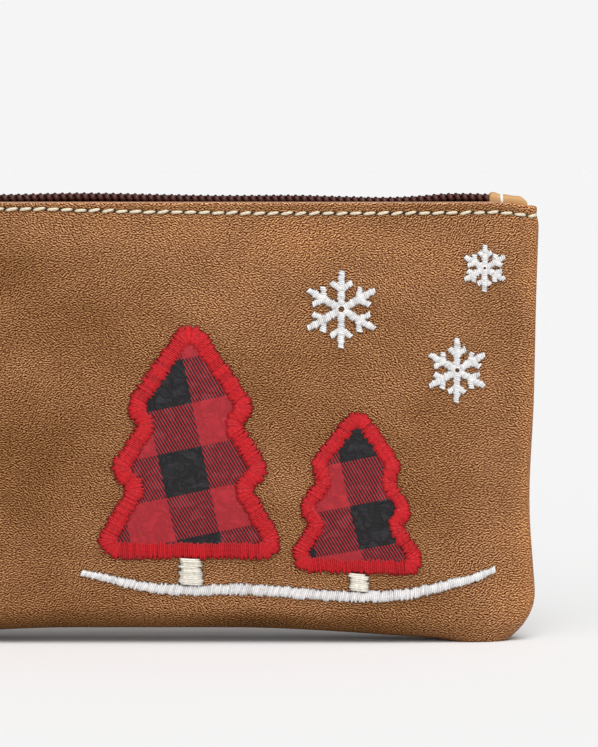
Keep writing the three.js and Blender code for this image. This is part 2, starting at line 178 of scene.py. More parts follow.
# The leather's relief at the stitches: a groove under them, a full edge above and a full band below
HOLE_SPREAD = 0.55
HOLE_FLATTENS = 0.5
GROOVE_DEPTH = 0.4
GROOVE_SPREAD = 0.6
GROOVE_BETWEEN_HOLES = 0.6
GROOVE_CORNER_FADE = 0.7
EDGE_SWELL = 0.16
EDGE_SWELL_BELOW = 0.7
EDGE_SWELL_SPREAD = 0.7
BAND_SWELL = 0.14
BAND_SWELL_BELOW = 1.7
BAND_SWELL_SPREAD = 1.1

# The zip, with the CAD's own values
GAP = 0.3
TAPE_DROP = 11.0
TAPE_END = 85.0
TAPE_EDGE = 0.25
CHAIN_WIDTH = 5.8
CHAIN_THICKNESS = 2.3
CHAIN_END = 77.0
CHAIN_TUCK = 1.2
CHAIN_CREST = 0.6
CHAIN_ROLL = 0.13
CHAIN_LINE = {
    "across": (-77, -66, -50, -34, -16, 3, 16, 33, 44, 54, 61, 68, 74, 77),
    "rise": (0.3, 0.3, 0.05, 0.25, CHAIN_CREST, 0.25, 0.05, 0.1, -0.2, -0.4, -0.1, 0.45, 0.45, 0.35),
}
END_TAB = {
    "across": (77.6, 78.3, 80.4, 83.2, 85.0, 86.0, 86.5),
    "top": (1.5, 2.05, 1.75, 1.25, 1.05, 0.3, -0.2),
}
SLIDER_ACROSS = -70.0
SLIDER_LENGTH = 10.5
SLIDER_WIDTH = 8.2
SLIDER_WALL = 1.2
SLIDER_ROUNDING = 2.4
FLANGE_LENGTH = 5.7
BRIDGE_LENGTH = 6.0
BRIDGE_WIDTH = 2.6
BRIDGE_HEIGHT = 3.4
PULL_LENGTH = 21.0
PULL_WIDTH = 6.0
PULL_SLOPE = 0.075
CHANNEL = POUCH_HEIGHT + CHAIN_CREST + CHAIN_THICKNESS / 2 + GAP

# The zip's finer shapes
TAPE_FACES = (0.1, 0.8)
TAPE_LEG_TOP = 2.6
TAPE_BEND = 1.2
TAPE_COLUMNS = 171
TAPE_POINTS = {"leg": 7, "bend": 6, "ledge": 7}
COIL_HEAD = 0.3
COIL_POINTS = 14
CORD_POINTS = 1117
CORD_WIDE = 0.8
CORD_HIGH = 0.3
SEWING = {"wide": 0.16, "high": 0.12, "outs": (-0.35, 0.45), "sunk": 0.25, "dip": 0.3, "phase": 0.25}
TAB = {"sections": 60, "points": 36, "squareness": 0.5, "foot": 0.9, "least": 0.1}
TAB_END = {"closed": 0.02, "share": 0.86, "round": 0.35}
TAB_STITCH = {"across": 80.4, "sink": 0.4, "spread": 0.62, "wide": 0.36, "high": 0.28, "points": 25}
TAB_STITCH_PATH = {"wrap": 0.12, "clear": 0.06, "rise": 0.12, "foot": 0.6, "lean": 0.12, "centre": 2.5}
PLATE_CORNER_POINTS = 8
PLATE_EDGE_POINTS = 7
ROOF = {"taper": 0.1, "edge": 0.4, "closed": 0.004}
FLANGE = {"corner": 0.3, "edge": 0.25, "closed": 0.01}
BRIDGE = {"points": 29, "half_thick": 0.45, "sink": 0.75, "squareness": 0.8}
PULL = {"taper": 0.08, "edge": 0.45, "start": 0.5}
PULL_SLOT = {"long": 2.7, "wide": 3.3, "corner": 0.9, "from_end": 3.0}

# The applied trees and snow, with the CAD's own values
TREES = {
    "large": {"across": 9, "up": 20, "height": 53, "width": 42, "border": 3.9, "trunk": 5.2},
    "small": {"across": 48, "up": 17, "height": 36, "width": 30, "border": 3.3, "trunk": 4.4},
}
TREE_TIERS = {
    "base": (0, 0.35, 0.63),
    "reach": (1, 0.82, 0.64),
    "top": (0.3, 0.58, 1),
    "neck": (0.56, 0.44, 0),
}
OUTLINE_ROUNDING = 0.67
SNOW_CLEAR = 1.6
SNOW_LINE = {
    "across": (-16, 2, 24, 42, 60, 80),
    "up": (14.5, 10.6, 10.4, 9.6, 11, 17.5),
    "width": (1.2, 2.2, 2.4, 2.2, 2.2, 1.2),
}
SNOWFLAKES = (
    {"across": 44, "up": 77, "reach": 9, "arm": 1.8},
    {"across": 71, "up": 63, "reach": 7.2, "arm": 1.7},
    {"across": 77, "up": 86.5, "reach": 5.2, "arm": 1.5},
)
SNOWFLAKE_ARMS = 6

# The finer shapes of the trees and the snow, whose satin threads stray between pairs of limits
OUTLINE_POINTS = 2400
OUTLINE_ARC_POINTS = 20
SNOW_POINTS = 200
PATCH = {"tuck": 0.22, "centre": 0.3, "margin": 0.05, "edge_lift": 0.3, "swell": 0.5, "under_lift": 0.1}
PATCH_ROWS = 121
PATCH_COLUMNS = 41
SATIN_POINTS = 8
SATIN_SIDES = 8
SATIN_ENDS = {"share": 0.14, "most": 0.5, "stray": (-0.8, 1)}
SATIN_RISE_STRAY = (-0.1, 0.06)
SATIN_THICKNESS_STRAY = (0.8, 1.05)
SATIN_OVAL = (1.15, 0.9)
# Each satin thread has its own random tint, plus painted shade at its ends in the needle holes and down its
# sides
SATIN_TINT_AND_PAINTED_SHADE = {"thread": 0.3, "end": 0.9, "side": 0.25, "side_from": -0.2, "side_to": 0.9}
SATIN_LIFT = 0.05
BORDER = {"rise": 0.5, "patch_lift": 0.4, "slip": 0.2}
COLUMN_RISE = 0.2
COLUMN_RISE_BY_WIDTH = 0.12
TRUNK = {"points": 9, "clear": 0.1, "top_width": 0.9, "lean": 0.06}
ARM = {"points": 12, "from": 0.1, "width": 0.85, "taper": 0.35}
TWIG = {"points": 8, "from": 0.15, "width": 0.62, "reach": 0.34, "place": 0.5, "swing": np.pi / 3.4}

# The photograph's frame, what it takes in at the pouch, and the stage round it
FRAME_HEIGHT = 172.9
FRAME_CENTRE = (33.9, 0.0, 61.9)
SENSOR = 36.0
FLOOR_HALF = 6000.0
NEAREST_SEEN = 10.0
FARTHEST_SEEN = 50000.0
SUN_DIRECTION = (-0.3, 0.55, -1.3)
SUN_SPREAD = np.radians(45)


# Small helpers


def linear(screen):
    """A screen colour such as "#8c5d3a" as linear red, green and blue."""
    parts = np.array([int(screen[k : k + 2], 16) for k in (1, 3, 5)]) / 255
    return tuple(np.where(parts <= 0.04045, parts / 12.92, ((parts + 0.055) / 1.055) ** 2.4).tolist())


def length_of(name, description, millimetres):
    """A length that a user may change, kept in metres."""
    return FloatProperty(
        name=name, description=description, default=millimetres * MM, min=0, unit="LENGTH", precision=5
    )


def colour_of(name, description, screen):
    """A colour that a user may change."""
    return FloatVectorProperty(
        name=name, description=description, default=linear(screen), subtype="COLOR", size=3, min=0, max=1
    )


def strength_of(name, description, default):
    """The strength of a light, which a user may change."""
    return FloatProperty(name=name, description=description, default=default, min=0)


def smoothstep(x, low, high):
    """0 up to `low`, 1 from `high` on, and a smooth S between them."""
    t = np.clip((x - low) / (high - low), 0, 1)
    return t * t * (3 - 2 * t)


def bell(x, spread):
    """1 at x = 0, falling off to both sides as exp(-(x / spread)²)."""
    return np.exp(-((x / spread) ** 2))


def squarish(turn, power):
    """A turn's cosine and sine, each to a power with its sign kept, which makes a circle squarish."""
    return tuple(np.sign(wave) * np.abs(wave) ** power for wave in (np.cos(turn), np.sin(turn)))


def along_table(table, key, column, at):
    """A column of a table at every place in `at`, on the smooth cubic through its rows.

    Between two rows it is the Hermite cubic, whose slope at a row comes from the rows on either side of it.
    """
    keys = np.array(table[key], float)
    values = np.array(table[column], float)
    order = np.arange(len(keys))
    before = np.maximum(order - 1, 0)
    after = np.minimum(order + 1, len(keys) - 1)
    slopes = (values[after] - values[before]) / (keys[after] - keys[before])
    k = np.clip(np.searchsorted(keys, at) - 1, 0, len(keys) - 2)
    span = keys[k + 1] - keys[k]
    t = np.clip((at - keys[k]) / span, 0, 1)
    start = values[k] * (2 * t**3 - 3 * t**2 + 1) + slopes[k] * span * (t**3 - 2 * t**2 + t)
    end = values[k + 1] * (3 * t**2 - 2 * t**3) + slopes[k + 1] * span * (t**3 - t**2)
    return start + end


def hills(table, across, up):
    """The sum of a table's hills at each place, each of them exp(-(x² + z²)) times its height."""
    x, z, wide, high, value = np.array(table, float).T
    return np.exp(-(((across[..., None] - x) / wide) ** 2) - ((up[..., None] - z) / high) ** 2) @ value


def unit(vectors):
    """The vectors at length 1."""
    return vectors / np.linalg.norm(vectors, axis=-1, keepdims=True)


def step_lengths(path):
    """The lengths of a flat path's steps."""
    return np.linalg.norm(np.diff(path, axis=0), axis=1)


def running(steps):
    """The running sum of steps, from 0."""
    return np.concatenate([[0], np.cumsum(steps)])


def places_along(path, run, at):
    """Places at the distances `at` along a flat path, whose points lie at the distances `run`."""
    return np.stack([np.interp(at, run, path[:, k]) for k in (0, 1)], axis=-1)


# Solids. `points` has the shape (solid, section, ring point, xyz), and `uv` and `shade` go with each point.
Solid = namedtuple("Solid", "points uv shade closed", defaults=(None, None, False))


def ring_faces(sections, points, closed):
    """Quads that carry a closed ring of points along a run of sections.

    An open run is closed at both ends by a ladder of quads, whose rungs join point k to point -1 - k.
    """
    runs = np.arange(sections if closed else sections - 1)
    section, point = np.meshgrid(runs, np.arange(points), indexing="ij")
    here = section * points
    there = (section + 1) % sections * points
    beside = (point + 1) % points
    walls = np.stack([here + point, here + beside, there + beside, there + point], axis=-1).reshape(-1, 4)
    if closed:
        return walls
    rung = np.arange(points // 2 - 1)
    ladder = np.stack([rung, rung + 1, points - 2 - rung, points - 1 - rung], axis=-1)
    return np.concatenate([walls, ladder[:, ::-1], ladder + (sections - 1) * points])


def make_piece(name, material, *solids):
    """A smooth mesh of one or more sets of solids, in metres, with every face turned outwards."""
    places, uvs, shades, quads = [], [], [], []
    start = 0
    for solid in solids:
        count, sections, points, _ = solid.points.shape
        flat = solid.points.reshape(-1, 3) * MM
        one = ring_faces(sections, points, solid.closed)
        faces = (one[None] + (np.arange(count) * sections * points)[:, None, None]).reshape(-1, 4)
        # The volume that the faces enclose is negative where they point inwards.
        a, b, c, d = (flat[faces[:, k]] for k in range(4))
        if np.sum(a * np.cross(b, c)) + np.sum(a * np.cross(c, d)) < 0:
            faces = faces[:, ::-1]
        quads.append(faces + start)
        places.append(flat)
        uvs.append(np.zeros((len(flat), 2)) if solid.uv is None else solid.uv.reshape(-1, 2))
        shades.append(np.ones(len(flat)) if solid.shade is None else solid.shade.reshape(-1))
        start += len(flat)
    places, uvs, shades, quads = (np.concatenate(part) for part in (places, uvs, shades, quads))
    mesh = bpy.data.meshes.new(name)
    mesh.vertices.add(len(places))
    mesh.vertices.foreach_set("co", places.astype(np.float32).ravel())
    mesh.loops.add(quads.size)
    mesh.loops.foreach_set("vertex_index", quads.astype(np.int32).ravel())
    mesh.polygons.add(len(quads))
    mesh.polygons.foreach_set("loop_start", np.arange(0, quads.size, 4, dtype=np.int32))
    mesh.update(calc_edges=True)
    mesh.shade_smooth()
    layer = mesh.uv_layers.new(name="flat")
    layer.uv.foreach_set("vector", uvs[quads.ravel()].astype(np.float32).ravel())
    mesh.attributes.new("shade", "FLOAT", "POINT").data.foreach_set("value", shades.astype(np.float32))
    mesh.materials.append(material)
    piece = bpy.data.objects.new(name, mesh)
    bpy.context.scene.collection.objects.link(piece)
    return piece


def hand_over(piece, slot, *nodes):
    """Rides a piece on the pouch's one body, in place of its CAD nodes. The material slot it is given is
    not used.
    """
    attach(piece, "root")
    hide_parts(*nodes)


def tubes(paths, up, wide, high, sides=6):
    """Threads along many paths at once, as a Solid.

    At each place a ring stands square to the path: the path's direction crossed with `up` points sideways,
    and that crossed with the direction points over. A ring point is wide * cos sideways and high * sin
    over.
    """
    along = unit(np.gradient(paths, axis=1))
    sideways = unit(np.cross(along, up))
    over = np.cross(sideways, along)
    turn = ring_turn(sides)
    wide, high = (np.broadcast_to(size, paths.shape[:2])[..., None, None] for size in (wide, high))
    across = np.cos(turn)[:, None] * sideways[:, :, None]
    upward = np.sin(turn)[:, None] * over[:, :, None]
    points = paths[:, :, None] + wide * across + high * upward
    steps = np.linalg.norm(np.diff(paths, axis=1), axis=-1)
    run = np.concatenate([np.zeros((len(paths), 1)), np.cumsum(steps, axis=1)], axis=1) * MM
    uv = np.stack(np.broadcast_arrays(run[..., None], turn / (2 * np.pi)), axis=-1)
    return Solid(points, uv)


def ring_turn(points):
    """The turns of a ring's points, half a step off the axes."""
    return 2 * np.pi * (np.arange(points) + 0.5) / points


# The leather body. A place on a panel is given across and up the flat leather, before it is filled.


def seam_distance(across, up):
    """How far a place lies inside the seam, which runs down both sides and round the bottom corners."""
    past = np.abs(across) - (HALF_WIDTH - CORNER_RADIUS)
    below = CORNER_RADIUS - up
    round_corner = np.hypot(np.maximum(past, 0), np.maximum(below, 0))
    return CORNER_RADIUS - (round_corner + np.minimum(np.maximum(past, below), 0))


def half_depth(across, up):
    """Half the depth of the filled body: a rolled edge at the seam, then the slow swell to the middle.

    The roll is a quarter of a superellipse over the roll's radius, and the swell falls off towards the
    sides as 1 - (across / half width) ** squareness.
    """
    roll_radius = BOTTOM_ROLL + (SIDE_ROLL - BOTTOM_ROLL) * smoothstep(up, 0, BOTTOM_ROLL_TOP)
    inward = np.clip(seam_distance(across, up) / roll_radius, 0, 1)
    roll = (1 - (1 - inward) ** ROLL_SQUARENESS) ** (1 / ROLL_SQUARENESS)
    squareness = along_table(SIDE_VIEW, "up", "squareness", up)
    fullness = 1 - (np.abs(across) / HALF_WIDTH) ** squareness
    middle = along_table(SIDE_VIEW, "up", "depth", up)
    swell = (middle - EDGE_DEPTH) * fullness
    return SEAM_GAP / 2 + roll * (EDGE_DEPTH + swell + hills(DENTS, across, up))


def loose_skin(side, across, up):
    """A panel's outer skin before the floor flattens it: the filled body, arched along its bottom seam.

    The arch fades upwards as the square of the share of the height that is left, and the press of the feet
    as its sixth power. The top corners drop as the sixth power of the share of the height.
    """
    reach = np.abs(across)
    high = np.clip(up / POUCH_HEIGHT, 0, 1)
    arch = ARCH_RISE * (1 - smoothstep(reach, ARCH_FROM, ARCH_TO)) * (1 - high) ** 2
    press = FOOT_PRESS * bell(reach - FOOT_ACROSS, FOOT_SPREAD) * (1 - high) ** 6
    drop = TOP_CORNER_DROP * smoothstep(reach, TOP_CORNER_FROM, HALF_WIDTH) * high**6
    lean = TOP_CORNER_LEAN * smoothstep(up, POUCH_HEIGHT - TOP_CORNER_HIGH, POUCH_HEIGHT)
    waist = (along_table(SIDE_VIEW, "up", "waist", up) + lean) / HALF_WIDTH
    height = up + arch - press - drop
    return np.stack([across * (1 - waist), side * half_depth(across, up), height], axis=-1)


def panel_point(side, across, up, lift):
    """A place on a panel, `lift` outside its skin along the skin's normal. Nothing goes under the floor.

    The normal is the cross product of the skin's slopes across and up, taken by short steps into the panel.
    """
    across, up, lift = np.broadcast_arrays(*(np.asarray(value, float) for value in (across, up, lift)))
    inward = np.where(across > 0, -SLOPE_STEP, SLOPE_STEP)
    upward = np.where(up > POUCH_HEIGHT / 2, -SLOPE_STEP, SLOPE_STEP)
    here = loose_skin(side, across, up)
    along_across = (loose_skin(side, across + inward, up) - here) / inward[..., None]
    along_up = (loose_skin(side, across, up + upward) - here) / upward[..., None]
    normal = unit(np.cross(along_across, along_up) * -side)
    point = here + normal * lift[..., None]
    point[..., 1] = side * np.maximum(side * point[..., 1], SEAM_GAP / 2)
    point[..., 2] = np.maximum(point[..., 2], np.maximum(-lift, 0))
    return point


def rounded_corners(across, up):
    """Places in a square-cornered sheet moved so that the sheet's two bottom corners are round.

    In the square of a corner, a place (x, z) goes to (x * sqrt(1 - z² / 2), z * sqrt(1 - x² / 2)).
    """
    past = np.maximum(np.abs(across) - (HALF_WIDTH - CORNER_RADIUS), 0) / CORNER_RADIUS
    below = np.maximum(CORNER_RADIUS - up, 0) / CORNER_RADIUS
    past_round = past * np.sqrt(1 - below**2 / 2)
    below_round = below * np.sqrt(1 - past**2 / 2)
    return (
        across - np.sign(across) * CORNER_RADIUS * (past - past_round),
        up + CORNER_RADIUS * (below - below_round),
    )


def stitch_places(pitch):
    """The middles of the stitches along a panel's top edge, the last ones cut short by the side seams."""
    each_way = int(HALF_WIDTH / pitch) + 1
    middles = np.arange(-each_way, each_way + 1) * pitch + STITCH_SHIFT
    return middles[np.abs(middles) < HALF_WIDTH + STITCH_PAST_SEAM * pitch]


def stitch_fall(across):
    """How far the row of stitches wanders below its level line."""
    return along_table(STITCH_LINE, "across", "fall", across)


def top_relief(across, up, stitches):
    """How far the leather stands out along its top: drawn in under the stitches and full beside them.

    Each of the three is a bell across its line, and changes at the needle holes, half way between stitches.
    """
    pitch, drop = stitches
    from_hole = (across - STITCH_SHIFT) / pitch - 0.5
    from_hole = (from_hole - np.round(from_hole)) * pitch
    hole = bell(from_hole, HOLE_SPREAD)
    below = POUCH_HEIGHT - up
    row = drop + stitch_fall(across)
    fade = 1 - GROOVE_CORNER_FADE * smoothstep(np.abs(across), TOP_CORNER_FROM, HALF_WIDTH)
    deepened = GROOVE_BETWEEN_HOLES + (1 - GROOVE_BETWEEN_HOLES) * hole
    flattened = 1 - HOLE_FLATTENS * hole
    groove = GROOVE_DEPTH * fade * bell(below - row, GROOVE_SPREAD) * deepened
    edge = EDGE_SWELL * bell(below - EDGE_SWELL_BELOW, EDGE_SWELL_SPREAD) * flattened
    under = BAND_SWELL * bell(below - row - BAND_SWELL_BELOW, BAND_SWELL_SPREAD) * flattened
    return edge + under - groove


def seam_tuck(across, up, out):
    """How far the seam draws the leather into the body, as steps across and up.

    It is a bell of the distance out from the seam, with a cosine along it for the pull of its stitches.
    """
    step = SLOPE_STEP
    towards = np.stack(
        [
            seam_distance(across - step, up) - seam_distance(across + step, up),
            seam_distance(across, up - step) - seam_distance(across, up + step),
        ],
        axis=-1,
    )
    towards = towards / np.maximum(np.linalg.norm(towards, axis=-1, keepdims=True), 1e-9)
    run = np.abs(across) + up
    pull = 1 + SEAM_STITCH_PULL * np.cos(2 * np.pi * run / SEAM_STITCH)
    near = seam_distance(across, up) < SIDE_ROLL
    return towards * (SEAM_TUCK * bell(out, SEAM_SHOULDER) * pull * near)[..., None]


def rolled_length(points, flat, rolled):
    """How much longer the way over a grid is than its flat run, summed over the rolled steps only."""
    extra = np.linalg.norm(np.diff(points, axis=0), axis=-1) - np.abs(np.diff(flat, axis=0))
    total = np.cumsum(extra * rolled[:, None], axis=0)
    return np.concatenate([np.zeros_like(total[:1]), total])


def leather_tone(across, up):
    """How light the leather is: about 1 with clouds, some of them painted light and shade, and lighter
    where it is rubbed, at its top and sides.

    It is darker along the bottom, where the shade is painted, and in the band between the top edge and the
    stitches.
    """
    reach = np.abs(across)
    below = POUCH_HEIGHT - up
    rubbed = bell(HALF_WIDTH - reach, RUBBED_SIDE) + bell(below, RUBBED_RIM)
    band = bell(below - BAND_BELOW_TOP, BAND_SPREAD)
    # Along the bottom the leather is darkened by painted shade.
    bottom = (1 - smoothstep(up, *BOTTOM_PAINTED_SHADE_UP)) * (1 - smoothstep(reach, *BOTTOM_PAINTED_SHADE_ACROSS))
    # Some of these clouds are the leather's mottling, and some are painted light and shade.
    clouds = hills(CLOUDS_AND_PAINTED_LIGHT, across, up)
    return PLAIN_TONE + clouds + RUBBED_TONE * rubbed + BAND_TONE * band + BOTTOM_PAINTED_SHADE * bottom


def panel_columns():
    """Places across a panel, from one side seam to the other, closer together where the sides roll."""
    roll = SIDE_ROLL * (np.arange(ROLL_COLUMNS) / ROLL_COLUMNS) ** ROLL_SQUARENESS
    flat_half = HALF_WIDTH - SIDE_ROLL
    flat = np.linspace(-flat_half, flat_half, round(2 * flat_half / COLUMN_STEP) + 1)
    return np.concatenate([roll - HALF_WIDTH, flat, HALF_WIDTH - roll[::-1]])


def panel_rows(top):
    """Places up a panel, from its bottom seam to its top edge, closer in the roll and at the stitches."""
    bottom = BOTTOM_ROLL * (np.arange(ROLL_ROWS) / ROLL_ROWS) ** ROLL_SQUARENESS
    band = POUCH_HEIGHT - TOP_BAND
    middle = np.linspace(BOTTOM_ROLL, band, round((band - BOTTOM_ROLL) / ROW_STEP), endpoint=False)
    upper = np.linspace(band, top, round((top - band) / TOP_ROW_STEP), endpoint=False)
    return np.concatenate([bottom, middle, upper])


def panel_solid(side, stitches):
    """One leather panel as a wall, with a section up the outside, over the top edge and down the inside.

    Columns run from one side seam to the other. Each takes its place from panel_point, with the lift going
    from 0 outside to minus the leather's thickness inside, round a squarish half circle at the top edge.
    The flat map adds the way round the rolled edges, so that the grain isn't stretched there.
    """
    half = LEATHER / 2
    top = POUCH_HEIGHT - half
    columns, rows = panel_columns(), panel_rows(top)
    turn = np.linspace(0, np.pi, EDGE_ARC + 1)
    arc_out, arc_over = squarish(turn, EDGE_SQUARENESS)
    up = np.concatenate([rows, top + half * arc_over, rows[::-1]])
    lift = np.concatenate([np.zeros(len(rows)), half * (arc_out - 1), np.full(len(rows), -LEATHER)])
    down_inside = np.pi * half + 2 * (top - rows[::-1])
    over_edge = np.concatenate([np.zeros(len(rows)), half * (turn - arc_over), down_inside])
    across, up = rounded_corners(*np.meshgrid(columns, up, indexing="ij"))
    outside = np.clip(1 + lift / half, 0, 1)
    points = panel_point(side, across, up, lift + outside * top_relief(across, up, stitches))
    tuck = seam_tuck(across, up, points[..., 1])
    points[..., 0] -= np.sign(across) * np.abs(tuck[..., 0])
    points[..., 2] -= tuck[..., 1]
    at_sides = np.abs(columns[:-1] + columns[1:]) > 2 * (HALF_WIDTH - SIDE_ROLL)
    round_sides = rolled_length(points, across, at_sides)
    round_sides -= round_sides[len(columns) // 2]
    at_bottom = np.arange(len(lift) - 1) < ROLL_ROWS
    round_bottom = rolled_length(points.swapaxes(0, 1), up.T, at_bottom).T
    round_bottom -= round_bottom[:, -1:]
    # The map follows the row of stitches, so that the needle holes lie on a level line of it.
    map_up = up + over_edge + round_bottom + stitch_fall(across)
    uv = np.stack([across + round_sides, map_up], axis=-1) * MM
    return Solid(points[None], uv[None], leather_tone(across, up)[None])


def stitch_row(side, pitch, drop, long, thick, slant, rng):
    """A row of straight stitches along a panel's top edge.

    A stitch runs from -1 to 1 along its length. Its lift is level in the middle and falls into the needle
    holes as the sixth power of that, and it climbs evenly by `slant` from the middle to its end.
    """
    middles = stitch_places(pitch)

    def stray(kind):
        return rng.uniform(-STITCH_STRAY[kind], STITCH_STRAY[kind], len(middles))[:, None]

    along = np.sin(np.linspace(-np.pi / 2, np.pi / 2, STITCH_POINTS))
    reach = long / 2 * (1 + stray("length"))
    tilt = slant * (1 + stray("slant"))
    left, right = (np.clip(middles[:, None] + end * reach, -STITCH_END, STITCH_END) for end in (-1, 1))
    across = (left + right) / 2 + (right - left) / 2 * along
    up = POUCH_HEIGHT - drop - stitch_fall(across) + stray("place") - side * tilt * along
    lift = STITCH_LIFT - STITCH_DIVE * along**6 + stray("lift")
    swell = thick / 2 * (1 - STITCH_TAPER * np.abs(along) ** 3)
    return tubes(panel_point(side, across, up, lift), (0, side, 0), swell, STITCH_OVAL * swell, sides=8)


# The zip


def chain_height(across):
    """The height of the zip chain's middle, which waves a little along the mouth."""
    return POUCH_HEIGHT + along_table(CHAIN_LINE, "across", "rise", across)


def inner_face(across, up):
    """How far the leather's inner face stands from the middle plane, near the mouth."""
    return np.abs(panel_point(FRONT, across, up, -LEATHER)[..., 1])


def tape_solid(side):
    """Half of the zip tape: a leg that hangs inside its panel, a soft bend, and a ledge under the chain.

    The section's outer line runs up the leg, round a quadratic bend and along the ledge, and its inner line
    comes back one tape thickness inside it. It is carried from one end of the zip to the other.
    """
    across = np.linspace(-TAPE_END, TAPE_END, TAPE_COLUMNS)[:, None]
    leg = np.linspace(POUCH_HEIGHT - TAPE_DROP, POUCH_HEIGHT - TAPE_LEG_TOP, TAPE_POINTS["leg"])[None]
    bend = np.linspace(0, 1, TAPE_POINTS["bend"])[None, 1:]
    ledge_share = np.linspace(0, 1, TAPE_POINTS["ledge"])[None, 1:]

    def line(inset):
        wall = inner_face(across, leg) - GAP - inset
        height = chain_height(across) - CHAIN_THICKNESS / 2 - GAP - inset
        corner = inner_face(across, np.full((1, 1), POUCH_HEIGHT)) - GAP - inset
        end_out = corner - TAPE_BEND
        ease = (1 - bend) ** 2, 2 * bend * (1 - bend), bend**2
        bend_out = ease[0] * wall[:, -1:] + ease[1] * corner + ease[2] * end_out
        bend_up = ease[0] * leg[:, -1:] + ease[1] * height + ease[2] * height
        free_out = end_out + (TAPE_EDGE - end_out) * ledge_share
        out = np.concatenate([wall, bend_out, free_out], axis=1)
        up = np.concatenate([leg + 0 * across, bend_up, height + 0 * free_out], axis=1)
        return out, up

    outer, inner = (line(inset) for inset in TAPE_FACES)
    out, up = (np.concatenate([outer[k], inner[k][:, ::-1]], axis=1) for k in (0, 1))
    points = np.stack([across + 0 * out, side * out, up], axis=-1)
    uv = np.stack([across + 0 * out, out + up], axis=-1) * MM
    return Solid(points[None], uv[None])


def coil_centre(wire):
    """How far a coil's own middle line lies from the zip's middle."""
    return (CHAIN_WIDTH / 2 - wire / 2 - COIL_HEAD) / 2


def coil_solid(pitch, wire):
    """The two meshed coils of the zip chain, each an oval spiral of nylon along the chain's wavy route.

    Front: across = pitch * turn / 2π, out = -centre + half * cos(turn), and up = chain height + rise *
    sin(turn), leaning with the chain's roll. The back coil is its mirror image, half a pitch further on, so
    that each one's heads lie between the other's.
    """
    reach = CHAIN_END + CHAIN_TUCK
    turns = 2 * reach / pitch
    turn = np.linspace(0, 2 * np.pi * turns, round(turns * COIL_POINTS))
    centre = coil_centre(wire)
    half = centre + COIL_HEAD
    rise = (CHAIN_THICKNESS - wire) / 2
    paths, middles = [], []
    for side, shift in ((FRONT, 0.0), (BACK, pitch / 2)):
        across = -reach + pitch * turn / (2 * np.pi) + shift
        level = chain_height(across)
        out = side * (centre - half * np.cos(turn))
        paths.append(np.stack([across, out, level - CHAIN_ROLL * out + rise * np.sin(turn)], axis=-1))
        middle = np.full_like(across, side * centre)
        middles.append(np.stack([across, middle, level - CHAIN_ROLL * middle], axis=-1))
    paths = np.stack(paths)
    outward = unit(paths - np.stack(middles) + (0, 0, 1e-6))
    return tubes(paths, outward, wire / 2, wire / 2, sides=8)


def coil_cord_solid(pitch, wire):
    """The cord inside each coil, and two sewing threads over it that dip between its turns."""
    reach = CHAIN_END + CHAIN_TUCK
    across = np.linspace(-reach, reach, CORD_POINTS)
    centre = coil_centre(wire)
    cords, threads = [], []
    for side, phase in ((FRONT, SEWING["phase"]), (BACK, SEWING["phase"] + 0.5)):
        height = chain_height(across) - CHAIN_ROLL * side * centre
        wave = np.cos(2 * np.pi * ((across + reach) / pitch - phase))
        over = CHAIN_THICKNESS / 2 - SEWING["sunk"] + SEWING["dip"] * wave
        cords.append(np.stack([across, np.full_like(across, side * centre), height], axis=-1))
        for out in SEWING["outs"]:
            beside = np.full_like(across, side * (centre + out))
            threads.append(np.stack([across, beside, height + over], axis=-1))
    up = (0, 0, 1)
    return (
        tubes(np.stack(cords), up, CORD_WIDE, CORD_HIGH),
        tubes(np.stack(threads), up, SEWING["wide"], SEWING["high"]),
    )


def tab_solid(end):
    """The leather tab over one end of the zip, a rounded section, drawn in under its stitch.

    The section is a squarish oval, |y|^4 + |z|^4 = 1, between the tape and the tab's top, which follows the
    table. Both ends close to almost nothing.
    """
    first, last = END_TAB["across"][0], END_TAB["across"][-1]
    across = np.concatenate([[first], np.linspace(first, last, TAB["sections"]), [last]])
    ends = np.minimum(across - first, last - across)
    shrink = TAB_END["share"] + (1 - TAB_END["share"]) * np.sqrt(np.clip(ends / TAB_END["round"], 0, 1))
    shrink[[0, -1]] = TAB_END["closed"]
    top = POUCH_HEIGHT + along_table(END_TAB, "across", "top", across)
    top = top - TAB_STITCH["sink"] * bell(across - TAB_STITCH["across"], TAB_STITCH["spread"])
    foot = chain_height(end * across) - CHAIN_THICKNESS / 2 - TAB["foot"]
    half_wide = (inner_face(across, np.full_like(across, POUCH_HEIGHT)) - GAP) * shrink
    half_high = np.maximum((top - foot) / 2, TAB["least"]) * shrink
    wide, high = squarish(ring_turn(TAB["points"]), TAB["squareness"])
    out = half_wide[:, None] * wide
    up = ((top + foot) / 2)[:, None] + half_high[:, None] * high
    points = np.stack([np.broadcast_to(end * across[:, None], out.shape), out, up], axis=-1)
    return Solid(points[None])


def tab_stitch_solid(end):
    """The one stitch across a tab, which comes up at its front edge, lies over it and goes down behind.

    Its path is a squarish half circle over the tab, carried on a little way down both sides.
    """
    path = TAB_STITCH_PATH
    turn = np.linspace(-path["wrap"], np.pi + path["wrap"], TAB_STITCH["points"])
    place = np.array([TAB_STITCH["across"]])
    half = inner_face(place, np.full_like(place, POUCH_HEIGHT)) - GAP + path["clear"]
    top = along_table(END_TAB, "across", "top", place) - TAB_STITCH["sink"] + path["rise"]
    wide, high = squarish(turn, TAB["squareness"])
    up = POUCH_HEIGHT - path["foot"] + (top + path["foot"]) * high
    across = end * (place + path["lean"] * np.cos(turn))
    route = np.stack([across, -half * wide, up], axis=-1)
    centre = np.full_like(up, POUCH_HEIGHT - path["centre"])
    middle = np.stack([across, np.zeros_like(up), centre], axis=-1)
    return tubes(route[None], unit(route - middle)[None], TAB_STITCH["wide"], TAB_STITCH["high"], sides=8)


